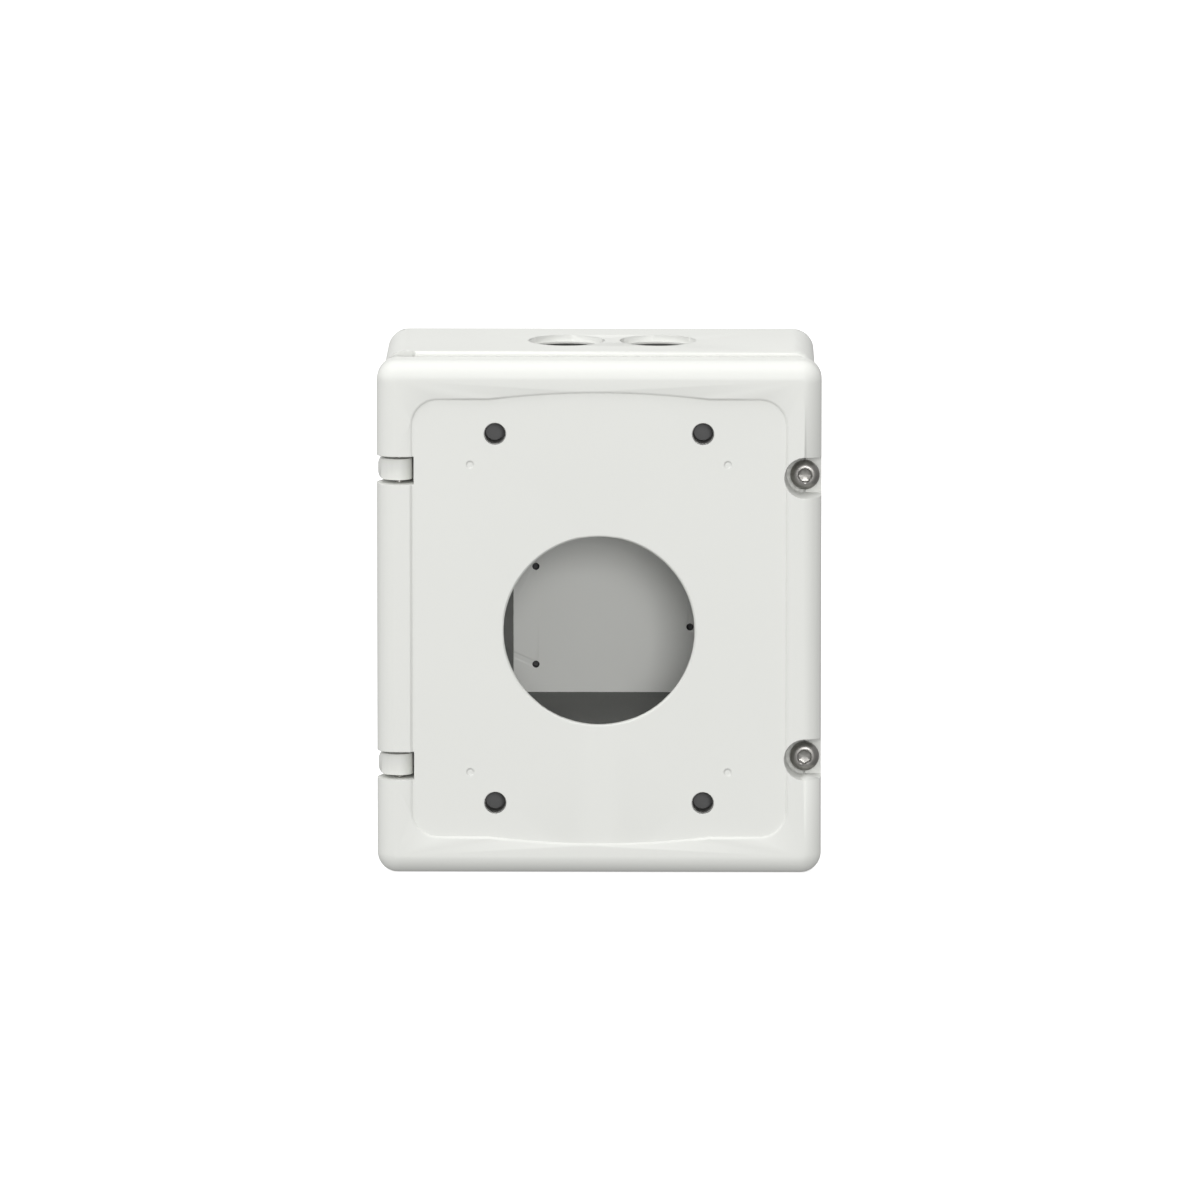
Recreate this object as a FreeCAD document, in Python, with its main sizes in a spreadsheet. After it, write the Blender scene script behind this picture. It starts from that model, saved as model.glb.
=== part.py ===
import FreeCAD, Part
import math
import os
import Sketcher
from FreeCAD import Vector

# Camera junction box: a die-cast box with a hinged front cover.
# Millimetres. X to the right, Y to the back, Z up.
# The origin is the middle of the back face, which lies against the wall, at Y = 0.
# The front of the cover faces -Y.

doc = FreeCAD.newDocument("camera_junction_box")

# Driving dimensions

DRIVING = {
    # Cover outline
    "cover_width": 214.0,
    "cover_height": 250.0,
    "cover_depth": 18.0,
    "cover_corner": 10.0,
    "cover_edge": 9.0,
    "cover_wall": 4.7,
    "cover_cavity_side_inset": 27.0,
    "cover_cavity_top_inset": 11.5,
    "cover_cavity_corner": 8.0,
    "cover_core_depth": 12.0,
    # Seam between box and cover
    "seam_gap": 0.5,
    # Box
    "box_depth": 80.0,
    "box_inset": 3.0,
    "box_top_rise": 2.4,
    "box_bottom_inset": 1.0,
    "box_draft": 0.5,
    "box_corner": 11.0,
    "box_rim_edge": 1.2,
    "top_wall": 4.6,
    "back_wall": 4.2,
    "cavity_inset": 22.0,
    "cavity_corner": 6.0,
    "rim_flange": 5.0,
    "rim_opening_inset": 10.0,
    "sealing_wall": 6.5,
    "outer_skin": 3.5,
    "side_core_depth": 50.0,
    "side_core_top_inset": 9.4,
    "side_core_bottom_inset": 8.0,
    # Recessed front panel
    "panel_side_inset": 16.0,
    "panel_top_inset": 17.4,
    "panel_bulge": 3.4,
    "panel_bow_inset": 38.0,
    "panel_corner": 13.5,
    "panel_depth": 1.2,
    "panel_slope": 1.1,
    # Cable hole in the cover
    "hole_radius": 46.0,
    "hole_drop": 6.0,
    "hole_edge": 0.8,
    # Bracket fixing points
    "bracket_half_width": 50.0,
    "bracket_inset": 35.0,
    "bracket_mouth_radius": 5.35,
    "bracket_thread_radius": 5.0,
    "bracket_skin": 2.0,
    "bracket_insert_half_flats": 6.5,
    "bracket_insert_length": 9.5,
    "bracket_boss_radius": 9.5,
    "bracket_boss_end": 1.2,
    # Hinges
    "hinge_inset": 10.7,
    "hinge_setback": 10.5,
    "hinge_drop": 53.0,
    "notch_half": 6.8,
    "notch_reach": 7.2,
    "lug_half": 5.1,
    "lug_reach": 6.5,
    "lug_corner": 3.4,
    "barrel_relief": 11.8,
    "knuckle_length": 9.2,
    "pin_radius": 1.75,
    "pin_clearance": 0.05,
    "pin_head_radius": 2.8,
    "pin_head_height": 1.6,
    "cover_skin": 5.5,
    "cover_core_width": 10.0,
    # Cover screws
    "screw_inset": 8.0,
    "screw_drop": 56.3,
    "scoop_radius": 10.0,
    "scoop_draft": 5.0,
    "scoop_depth": 14.0,
    "screw_hole_radius": 4.1,
    "screw_head_radius": 7.1,
    "screw_head_height": 4.4,
    "screw_crown": 0.62,
    "screw_shoulder": 0.7,
    "screw_socket_flats": 5.6,
    "screw_socket_depth": 2.8,
    "screw_shank_radius": 3.6,
    "screw_engagement": 6.0,
    "washer_radius": 6.6,
    "washer_thickness": 1.0,
    "ring_radius": 6.0,
    "ring_thickness": 1.4,
    "insert_half_flats": 4.9,
    "insert_bore": 4.0,
    "insert_length": 12.0,
    "boss_radius": 7.0,
    "boss_length": 25.0,
    # Conduit entries
    "conduit_middle": 5.9,
    "conduit_spacing": 44.2,
    "conduit_setback": 41.2,
    "conduit_radius": 18.5,
    "conduit_thread_depth": 3.5,
    "conduit_step_radius": 17.2,
    # Wall fixings and inner tapped holes
    "wall_hole_side_inset": 12.0,
    "wall_hole_top_inset": 30.0,
    "wall_hole_radius": 3.5,
    "tapped_half_width": 37.5,
    "tapped_left_height": 10.2,
    "tapped_right_height": 28.7,
    "tapped_pitch": 48.3,
    "tapped_radius": 1.7,
    "tapped_depth": 3.2,
    # Gasket
    "gasket_side_inset": 20.2,
    "gasket_top_inset": 4.5,
    "gasket_width": 4.0,
    "gasket_groove_depth": 3.0,
    "gasket_corner": 9.0,
    "gasket_clearance": 0.2,
    "gasket_side_play": 0.1,
    # Inner divider
    "divider_side_gap": 33.6,
    "divider_floor": 51.8,
    "divider_top_gap": 23.4,
    "divider_wall": 2.0,
    "divider_splay": 4.6,
    "divider_front_rise": 2.0,
    "divider_tongue": 10.0,
    "ear_size": 11.0,
    "ear_thickness": 2.5,
    "ear_upper": 60.0,
    "ear_lower": 30.0,
    # Small screws
    "small_screw_radius": 1.9,
    "small_screw_hole": 2.0,
    "small_head_radius": 3.5,
    "small_head_height": 2.4,
    "small_screw_length": 3.0,
    "pan_crown": 0.8,
    "cross_slot_half": 1.7,
    "cross_slot_width": 0.7,
    "cross_slot_depth": 1.2,
    # Earth terminal
    "earth_side_inset": 18.0,
    "earth_rise": 32.0,
    "earth_boss_radius": 7.0,
    "earth_boss_height": 6.0,
    "earth_screw_radius": 2.5,
    "earth_head_radius": 4.75,
    "earth_head_height": 3.7,
    "earth_screw_length": 8.0,
    "earth_washer_radius": 6.0,
    "earth_washer_thickness": 1.0,
    "bore_play": 0.05,
}

# Lengths that follow the driving dimensions, each from the size it keeps to and a named clearance

HALF_WIDTH, HALF_HEIGHT = "=cover_width / 2", "=cover_height / 2"
FOLLOWING = {
    "box_side": f"{HALF_WIDTH} - box_inset",
    "box_top": f"{HALF_HEIGHT} + box_top_rise",
    "box_bottom": f"{HALF_HEIGHT} - box_bottom_inset",
    "cavity_side": "=box_side - cavity_inset",
    "side_core_inner": "=cavity_side + sealing_wall",
    "side_core_outer": "=box_side - outer_skin",
    "side_core_top": "=box_top - side_core_top_inset",
    "side_core_bottom": "=box_bottom - side_core_bottom_inset",
    "rim_opening_top": f"{HALF_HEIGHT} - rim_opening_inset",
    "cover_cavity_side": f"{HALF_WIDTH} - cover_cavity_side_inset",
    "cover_cavity_top": f"{HALF_HEIGHT} - cover_cavity_top_inset",
    "cover_core_outer": f"{HALF_WIDTH} - cover_skin",
    "cover_core_inner": "=cover_core_outer - cover_core_width",
    "panel_side": f"{HALF_WIDTH} - panel_side_inset",
    "panel_top": f"{HALF_HEIGHT} - panel_top_inset",
    "panel_bulge_half": "=panel_side - panel_bow_inset",
    "bracket_half_height": f"{HALF_HEIGHT} - bracket_inset",
    "hinge_height": f"{HALF_HEIGHT} - hinge_drop",
    "screw_side": f"{HALF_WIDTH} - screw_inset",
    "screw_height": f"{HALF_HEIGHT} - screw_drop",
    "wall_hole_half_width": "=cavity_side - wall_hole_side_inset",
    "wall_hole_half_height": f"{HALF_HEIGHT} - wall_hole_top_inset",
    "gasket_outer_side": f"{HALF_WIDTH} - gasket_side_inset",
    "gasket_outer_top": f"{HALF_HEIGHT} - gasket_top_inset",
    "divider_half_width": "=cavity_side - divider_side_gap",
    "divider_top": "=box_top - divider_top_gap",
    "divider_front": "=box_depth + divider_front_rise",
    "earth_side": "=cavity_side - earth_side_inset",
    "earth_drop": "=box_bottom - earth_rise",
}

sizes = doc.addObject("Spreadsheet::Sheet", "sizes")
for row, (alias, amount) in enumerate([*DRIVING.items(), *FOLLOWING.items()], start=1):
    sizes.set(f"A{row}", alias)
    sizes.set(f"B{row}", str(amount))
    sizes.setAlias(f"B{row}", alias)
doc.recompute()

# Places worked out from the driving dimensions, as expressions on the sheet

SEAM = "(sizes.box_depth + sizes.seam_gap)"
FRONT = f"({SEAM} + sizes.cover_depth)"
PANEL = f"({FRONT} - sizes.panel_depth)"
COVER_FLOOR = f"({FRONT} - sizes.cover_wall)"
AXIS_X = "(sizes.hinge_inset - sizes.cover_width / 2)"
AXIS_DEPTH = f"({FRONT} - sizes.hinge_setback)"
SCOOP_FLOOR = f"({FRONT} - sizes.scoop_depth)"
INSERT_FRONT = f"({PANEL} - sizes.bracket_skin)"
GASKET_FLOOR = f"({SEAM} + sizes.gasket_groove_depth)"


def number(expression):
    """The value that an expression on the sheet has now."""
    value = sizes.evalExpression(expression)
    return float(getattr(value, "Value", value))


# Sketch helpers

def new_body(name):
    body = doc.addObject("PartDesign::Body", name)
    body.Label = name
    return body


def sketch_on(body, name, role, offset="0"):
    """A sketch parallel to one of the body's origin planes, moved along that plane's normal."""
    plane = next(item for item in body.Origin.OriginFeatures if item.Role == role)
    sketch = body.newObject("Sketcher::SketchObject", name)
    sketch.AttachmentSupport = (plane, [""])
    sketch.MapMode = "FlatFace"
    sketch.setExpression("AttachmentOffset.Base.z", offset)
    return sketch


def front_sketch(body, name, depth="0"):
    """A sketch that looks at the front: its x is X, its y is Z, and depth is counted from the wall."""
    return sketch_on(body, name, "XZ_Plane", depth)


def level_sketch(body, name, height="0"):
    """A horizontal sketch at a height."""
    return sketch_on(body, name, "XY_Plane", height)


def drive(sketch, kind, *where, by):
    """Adds one dimension to a sketch and binds it to an expression."""
    index = sketch.addConstraint(Sketcher.Constraint(kind, *where, number(by)))
    sketch.setExpression(f"Constraints[{index}]", by)


def drive_point(sketch, geometry, point, across, up):
    drive(sketch, "DistanceX", -1, 1, geometry, point, by=across)
    drive(sketch, "DistanceY", -1, 1, geometry, point, by=up)


def draw_circle(sketch, across, up, radius):
    circle = Part.Circle(Vector(number(across), number(up), 0), Vector(0, 0, 1), number(radius))
    index = sketch.addGeometry(circle, False)
    drive_point(sketch, index, 3, across, up)
    drive(sketch, "Radius", index, by=radius)


def draw_polygon(sketch, points):
    """A closed outline of straight lines; every corner is bound to the sheet."""
    corners = [Vector(number(across), number(up), 0) for across, up in points]
    first = sketch.GeometryCount
    for start, end in zip(corners, corners[1:] + corners[:1]):
        sketch.addGeometry(Part.LineSegment(start, end), False)
    count = len(points)
    for index in range(count):
        following = first + (index + 1) % count
        sketch.addConstraint(Sketcher.Constraint("Coincident", first + index, 2, following, 1))
    for index, (across, up) in enumerate(points):
        drive_point(sketch, first + index, 1, across, up)


def draw_rectangle(sketch, left, right, bottom, top):
    draw_polygon(sketch, [(left, bottom), (right, bottom), (right, top), (left, top)])


def draw_rounded_rectangle(sketch, left, right, bottom, top, radius):
    """Four lines and four tangent corner arcs of one radius."""
    x_low, x_high, y_low, y_high, corner = map(number, (left, right, bottom, top, radius))
    centres = [
        (x_high - corner, y_low + corner, -90),
        (x_high - corner, y_high - corner, 0),
        (x_low + corner, y_high - corner, 90),
        (x_low + corner, y_low + corner, 180),
    ]
    arcs = []
    for across, up, start in centres:
        circle = Part.Circle(Vector(across, up, 0), Vector(0, 0, 1), corner)
        arcs.append(Part.ArcOfCircle(circle, math.radians(start), math.radians(start + 90)))
    first = sketch.GeometryCount
    for previous, arc in zip(arcs[-1:] + arcs[:-1], arcs):
        sketch.addGeometry(Part.LineSegment(previous.EndPoint, arc.StartPoint), False)
        sketch.addGeometry(arc, False)
    for step in range(8):
        following = first + (step + 1) % 8
        sketch.addConstraint(Sketcher.Constraint("Tangent", first + step, 2, following, 1))
    for side, direction in enumerate(("Horizontal", "Vertical", "Horizontal", "Vertical")):
        sketch.addConstraint(Sketcher.Constraint(direction, first + 2 * side))
    for corner_index in (3, 5, 7):
        sketch.addConstraint(Sketcher.Constraint("Equal", first + 1, first + corner_index))
    drive(sketch, "Radius", first + 1, by=radius)
    drive(sketch, "DistanceY", -1, 1, first, 1, by=bottom)
    drive(sketch, "DistanceX", -1, 1, first + 2, 1, by=right)
    drive(sketch, "DistanceY", -1, 1, first + 4, 1, by=top)
    drive(sketch, "DistanceX", -1, 1, first + 6, 1, by=left)


# Feature helpers

def extrude(kind, body, name, sketch, length, backwards=False, both_ways=False):
    """A pad goes along the sketch's normal and a pocket against it, unless backwards."""
    feature = body.newObject("PartDesign::" + kind, name)
    feature.Profile = sketch
    feature.setExpression("Length", length)
    feature.Reversed = backwards
    feature.Midplane = both_ways
    feature.Refine = False
    return feature


def loft(kind, body, name, sketches):
    feature = body.newObject("PartDesign::" + kind, name)
    feature.Profile = sketches[0]
    feature.Sections = sketches[1:]
    feature.Ruled = True
    feature.Refine = False
    return feature


def soften(kind, body, name, size, wanted):
    """Fillets or chamfers the edges of the body for which wanted(edge) is true."""
    doc.recompute()
    base = body.Tip
    names = [f"Edge{index}" for index, edge in enumerate(base.Shape.Edges, start=1) if wanted(edge)]
    if not names:
        raise RuntimeError(f"{name}: no edge to soften")
    feature = body.newObject("PartDesign::" + kind, name)
    feature.Base = (base, names)
    feature.setExpression("Radius" if kind == "Fillet" else "Size", size)
    return feature


def lean(body, name, angle, depth, wanted, outwards=False):
    """Drafts the faces for which wanted(face) is true, hinged where they meet the plane at a depth."""
    doc.recompute()
    base = body.Tip
    faces = list(enumerate(base.Shape.Faces, start=1))
    neutral = next(f"Face{index}" for index, face in faces if lies_at(face, depth))
    names = [f"Face{index}" for index, face in faces if wanted(face)]
    if not names:
        raise RuntimeError(f"{name}: no face to draft")
    feature = body.newObject("PartDesign::Draft", name)
    feature.Base = (base, names)
    feature.NeutralPlane = (base, [neutral])
    feature.Reversed = outwards
    feature.setExpression("Angle", f"{angle} * 1 deg")
    # A draft has no shape after its first pass and settles on the second
    doc.recompute()
    feature.touch()
    return feature


def lies_at(edge, depth):
    """Whether an edge lies in the plane at this depth from the wall."""
    box = edge.BoundBox
    plane = -number(depth)
    return abs(box.YMin - plane) < 0.01 and abs(box.YMax - plane) < 0.01


# Housing: the die-cast box on the wall

def housing_shell(body):
    """The drafted outside with a bevelled rim, the cavity behind the rim flange and the opening."""
    outline = front_sketch(body, "housing_outline")
    draw_rounded_rectangle(outline, "-sizes.box_side", "sizes.box_side",
                           "-sizes.box_bottom", "sizes.box_top", "sizes.box_corner")
    extrude("Pad", body, "housing_outside", outline, "sizes.box_depth")
    lean(body, "housing_draft", "sizes.box_draft", "sizes.box_depth",
         lambda face: face.BoundBox.YLength > 1)
    soften("Chamfer", body, "housing_rim_bevel", "sizes.box_rim_edge",
           lambda edge: lies_at(edge, "sizes.box_depth"))
    cavity_depth = "sizes.box_depth - sizes.rim_flange - sizes.back_wall"
    cavity = front_sketch(body, "housing_cavity_outline", "sizes.box_depth - sizes.rim_flange")
    draw_rounded_rectangle(cavity, "-sizes.cavity_side", "sizes.cavity_side",
                           "sizes.top_wall - sizes.box_bottom",
                           "sizes.box_top - sizes.top_wall", "sizes.cavity_corner")
    extrude("Pocket", body, "housing_cavity", cavity, cavity_depth)
    opening = front_sketch(body, "housing_opening_outline", "sizes.box_depth")
    draw_rounded_rectangle(opening, "-sizes.cavity_side", "sizes.cavity_side",
                           "-sizes.rim_opening_top", "sizes.rim_opening_top", "sizes.cavity_corner")
    extrude("Pocket", body, "housing_opening", opening, "sizes.rim_flange")


def housing_side_cores(body):
    """Open pockets between the sealing walls and the outer skin, with solid blocks at hinges and screws."""
    cores = front_sketch(body, "housing_side_core_outline", "sizes.box_depth")
    hinge_block = "(sizes.lug_half + 3)"
    screw_block = "(sizes.boss_radius + 2)"
    sides = [
        ("-sizes.side_core_outer", "-sizes.side_core_inner", "sizes.hinge_height", hinge_block),
        ("sizes.side_core_inner", "sizes.side_core_outer", "sizes.screw_height", screw_block),
    ]
    for left, right, height, block in sides:
        draw_rectangle(cores, left, right, "-sizes.side_core_bottom", f"-{height} - {block}")
        draw_rectangle(cores, left, right, f"{block} - {height}", f"{height} - {block}")
        draw_rectangle(cores, left, right, f"{height} + {block}", "sizes.side_core_top")
    extrude("Pocket", body, "housing_side_cores", cores, "sizes.side_core_depth")
    relief = level_sketch(body, "housing_barrel_relief_outline")
    draw_circle(relief, AXIS_X, f"-{AXIS_DEPTH}", "sizes.barrel_relief")
    extrude("Pocket", body, "housing_barrel_relief", relief, "3 * sizes.cover_height", both_ways=True)


def draw_lug_profile(sketch):
    """Seen from above: a round front about the pin, a wider round to the left, and a root in the box."""
    axis_x, axis_y = number(AXIS_X), -number(AXIS_DEPTH)
    reach, wide = number("sizes.lug_reach"), number("sizes.hinge_inset - 0.5")
    inner = Part.Circle(Vector(axis_x, axis_y, 0), Vector(0, 0, 1), reach)
    outer = Part.Circle(Vector(axis_x, axis_y - reach + wide, 0), Vector(0, 0, 1), wide)
    root_y = -number("sizes.box_depth") + 8
    right, left = Vector(axis_x + reach, axis_y, 0), Vector(axis_x - wide, axis_y - reach + wide, 0)
    root_right = Vector(right.x, root_y, 0)
    root_left = Vector(0.6 - number("sizes.box_side"), root_y, 0)
    sketch.addGeometry(Part.ArcOfCircle(inner, math.radians(-90), 0), False)
    sketch.addGeometry(Part.LineSegment(right, root_right), False)
    sketch.addGeometry(Part.LineSegment(root_right, root_left), False)
    sketch.addGeometry(Part.LineSegment(root_left, left), False)
    sketch.addGeometry(Part.ArcOfCircle(outer, math.radians(180), math.radians(270)), False)
    joints = [(0, 2, 1, 1), (1, 2, 2, 1), (2, 2, 3, 1), (3, 2, 4, 1), (4, 2, 0, 1)]
    for joint in joints:
        sketch.addConstraint(Sketcher.Constraint("Coincident", *joint))
    drive_point(sketch, 0, 3, AXIS_X, f"-{AXIS_DEPTH}")
    drive(sketch, "Radius", 0, by="sizes.lug_reach")
    sketch.addConstraint(Sketcher.Constraint("Vertical", 0, 1, 0, 3))
    sketch.addConstraint(Sketcher.Constraint("Horizontal", 0, 2, 0, 3))
    drive(sketch, "Radius", 4, by="sizes.hinge_inset - 0.5")
    sketch.addConstraint(Sketcher.Constraint("Vertical", 4, 2, 4, 3))
    sketch.addConstraint(Sketcher.Constraint("Horizontal", 4, 1, 4, 3))
    sketch.addConstraint(Sketcher.Constraint("Vertical", 1))
    drive_point(sketch, 2, 2, "0.6 - sizes.box_side", "8 - sizes.box_depth")
    sketch.addConstraint(Sketcher.Constraint("Horizontal", 2))


def draw_corner_waste(sketch, across, up, radius, side):
    """The waste outside a round corner on the left; side is 1 for a top corner and -1 for a bottom one."""
    left, level, size = number(across), number(up), number(radius)
    middle = Vector(left + size, level - side * size, 0)
    circle = Part.Circle(middle, Vector(0, 0, 1), size)
    start = 90 if side > 0 else 180
    first = sketch.GeometryCount
    sketch.addGeometry(Part.ArcOfCircle(circle, math.radians(start), math.radians(start + 90)), False)
    above, beside = (1, 2) if side > 0 else (2, 1)
    places = [(middle.x, level), (middle.x, level + side), (left - 1, level + side),
              (left - 1, middle.y), (left, middle.y)]
    corners = [Vector(*place, 0) for place in places]
    for begin, end in zip(corners, corners[1:]):
        sketch.addGeometry(Part.LineSegment(begin, end), False)
    sketch.addConstraint(Sketcher.Constraint("Coincident", first, above, first + 1, 1))
    for line in (1, 2, 3):
        sketch.addConstraint(Sketcher.Constraint("Coincident", first + line, 2, first + line + 1, 1))
    sketch.addConstraint(Sketcher.Constraint("Coincident", first + 4, 2, first, beside))
    for line, direction in ((1, "Vertical"), (2, "Horizontal"), (3, "Vertical"), (4, "Horizontal")):
        sketch.addConstraint(Sketcher.Constraint(direction, first + line))
    drive_point(sketch, first, 3, f"{across} + {radius}", f"{up} - {side} * {radius}")
    drive(sketch, "Radius", first, by=radius)
    sketch.addConstraint(Sketcher.Constraint("Vertical", first, above, first, 3))
    sketch.addConstraint(Sketcher.Constraint("Horizontal", first, beside, first, 3))
    drive_point(sketch, first + 2, 2, f"{across} - 1", f"{up} + {side}")


def housing_hinge_lugs(body):
    """Two lugs that reach forward into the cover's notches, with a bore for the hinge pin."""
    for name, sign in (("upper", ""), ("lower", "-")):
        middle = f"({sign}sizes.hinge_height)"
        lug = level_sketch(body, f"lug_outline_{name}", f"{middle} - sizes.lug_half")
        draw_lug_profile(lug)
        extrude("Pad", body, f"lug_{name}", lug, "2 * sizes.lug_half")

    corners = front_sketch(body, "lug_corner_outline", f"{AXIS_DEPTH} + sizes.lug_reach + 1")
    left = f"({AXIS_X} - sizes.hinge_inset + 0.5)"
    for lug_side in ("", "-"):
        for corner_side in (1, -1):
            edge = f"({lug_side}sizes.hinge_height + {corner_side} * sizes.lug_half)"
            draw_corner_waste(corners, left, edge, "sizes.lug_corner", corner_side)
    extrude("Pocket", body, "lug_corners", corners, f"{AXIS_DEPTH} + sizes.lug_reach + 1 - sizes.box_depth")
    for name, sign in (("upper", ""), ("lower", "-")):
        bore = level_sketch(body, f"lug_bore_outline_{name}", f"{sign}sizes.hinge_height")
        draw_circle(bore, AXIS_X, f"-{AXIS_DEPTH}", "sizes.pin_radius + sizes.pin_clearance")
        extrude("Pocket", body, f"lug_bore_{name}", bore, "2 * sizes.lug_half + 1", both_ways=True)


def housing_screw_bosses(body):
    """Bosses at the right for the cover screws, each bored for a thread insert."""
    bosses = front_sketch(body, "screw_boss_outline", "sizes.box_depth")
    bores = front_sketch(body, "insert_bore_outline", "sizes.box_depth")
    ends = front_sketch(body, "insert_bore_end_outline", "sizes.box_depth - sizes.insert_length")
    for height in ("sizes.screw_height", "-sizes.screw_height"):
        draw_circle(bosses, "sizes.screw_side", height, "sizes.boss_radius")
        draw_hexagon(bores, "(sizes.insert_half_flats + sizes.bore_play)", 0, "sizes.screw_side", height)
        draw_circle(ends, "sizes.screw_side", height, "sizes.insert_bore")
    extrude("Pad", body, "screw_bosses", bosses, "sizes.boss_length", backwards=True)
    extrude("Pocket", body, "insert_bores", bores, "sizes.insert_length")
    extrude("Pocket", body, "insert_bore_ends", ends, "4")


def housing_conduit_entries(body):
    """Two threaded entries through the top wall, each with a narrower stop below the thread."""
    above = "sizes.box_top + 1"
    threads = level_sketch(body, "conduit_thread_outline", above)
    steps = level_sketch(body, "conduit_step_outline", above)
    for side in ("-", "+"):
        across = f"sizes.conduit_middle {side} sizes.conduit_spacing / 2"
        draw_circle(threads, across, "-sizes.conduit_setback", "sizes.conduit_radius")
        draw_circle(steps, across, "-sizes.conduit_setback", "sizes.conduit_step_radius")
    extrude("Pocket", body, "conduit_threads", threads, "sizes.conduit_thread_depth + 1")
    extrude("Pocket", body, "conduit_steps", steps, "sizes.top_wall + 4")


def housing_back_holes(body):
    """Wall fixings, small tapped holes, divider fixings and the earth boss on the back wall."""
    earth = front_sketch(body, "earth_boss_outline", "sizes.back_wall")
    draw_circle(earth, "sizes.earth_side", "-sizes.earth_drop", "sizes.earth_boss_radius")
    extrude("Pad", body, "earth_boss", earth, "sizes.earth_boss_height")
    fixings = front_sketch(body, "wall_hole_outline", "sizes.back_wall")
    for across in ("-sizes.wall_hole_half_width", "sizes.wall_hole_half_width"):
        for up in ("-sizes.wall_hole_half_height", "sizes.wall_hole_half_height"):
            draw_circle(fixings, across, up, "sizes.wall_hole_radius")
    extrude("Pocket", body, "wall_holes", fixings, "sizes.back_wall")
    tapped = front_sketch(body, "tapped_hole_outline", "sizes.back_wall")
    for side, height in (("-", "sizes.tapped_left_height"), ("+", "sizes.tapped_right_height")):
        across = f"sizes.conduit_middle {side} sizes.tapped_half_width"
        draw_circle(tapped, across, height, "sizes.tapped_radius")
        draw_circle(tapped, across, f"{height} - sizes.tapped_pitch", "sizes.tapped_radius")
    for across, up in divider_screw_places():
        draw_circle(tapped, across, up, "sizes.small_screw_radius + sizes.bore_play")
    extrude("Pocket", body, "tapped_holes", tapped, "sizes.tapped_depth")
    bore = front_sketch(body, "earth_bore_outline", "sizes.back_wall + sizes.earth_boss_height")
    draw_circle(bore, "sizes.earth_side", "-sizes.earth_drop", "sizes.earth_screw_radius + sizes.bore_play")
    extrude("Pocket", body, "earth_bore", bore, "sizes.earth_screw_length + 0.5")


def divider_screw_places():
    """Across and up of the four screws that hold the divider's ears."""
    places = []
    for side in ("-", "+"):
        ear_middle = "(sizes.divider_half_width + sizes.divider_wall + sizes.ear_size / 2)"
        across = f"sizes.conduit_middle {side} {ear_middle}"
        places.append((across, "sizes.ear_upper"))
        places.append((across, "-sizes.ear_lower"))
    return places


def make_housing():
    body = new_body("housing")
    housing_shell(body)
    housing_side_cores(body)
    housing_screw_bosses(body)
    housing_hinge_lugs(body)
    housing_conduit_entries(body)
    housing_back_holes(body)


# Front cover

def cover_shell(body):
    """The rounded tray: outline, soft front edge, rear cavity and cored border."""
    outline = front_sketch(body, "cover_outline", SEAM)
    draw_rounded_rectangle(outline, "-sizes.cover_width / 2", "sizes.cover_width / 2",
                           "-sizes.cover_height / 2", "sizes.cover_height / 2", "sizes.cover_corner")
    extrude("Pad", body, "cover_slab", outline, "sizes.cover_depth")
    soften("Fillet", body, "cover_front_rounding", "sizes.cover_edge",
           lambda edge: lies_at(edge, FRONT))
    round_hinge_side(body)
    cavity = front_sketch(body, "cover_cavity_outline", SEAM)
    draw_rounded_rectangle(cavity, "-sizes.cover_cavity_side", "sizes.cover_cavity_side",
                           "-sizes.cover_cavity_top", "sizes.cover_cavity_top",
                           "sizes.cover_cavity_corner")
    extrude("Pocket", body, "cover_cavity", cavity, "sizes.cover_depth - sizes.cover_wall", backwards=True)
    cores = front_sketch(body, "cover_core_outline", SEAM)
    knuckle_end = "(sizes.hinge_height + sizes.notch_half + sizes.knuckle_length)"
    knuckle_start = "(sizes.hinge_height - sizes.notch_half - sizes.knuckle_length)"
    top = "(sizes.cover_height / 2 - 5)"
    left, right = "-sizes.cover_core_outer", "-sizes.cover_core_inner"
    draw_rectangle(cores, left, right, f"-{top}", f"-{knuckle_end}")
    draw_rectangle(cores, left, right, f"-{knuckle_start}", knuckle_start)
    draw_rectangle(cores, left, right, knuckle_end, top)
    scoop_edge = "(sizes.scoop_radius + 4)"
    left, right = "sizes.cover_core_inner", "sizes.cover_core_outer"
    draw_rectangle(cores, left, right, f"-{top}", f"-sizes.screw_height - {scoop_edge}")
    draw_rectangle(cores, left, right, f"{scoop_edge} - sizes.screw_height",
                   f"sizes.screw_height - {scoop_edge}")
    draw_rectangle(cores, left, right, f"sizes.screw_height + {scoop_edge}", top)
    extrude("Pocket", body, "cover_cores", cores, "sizes.cover_core_depth", backwards=True)


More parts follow.
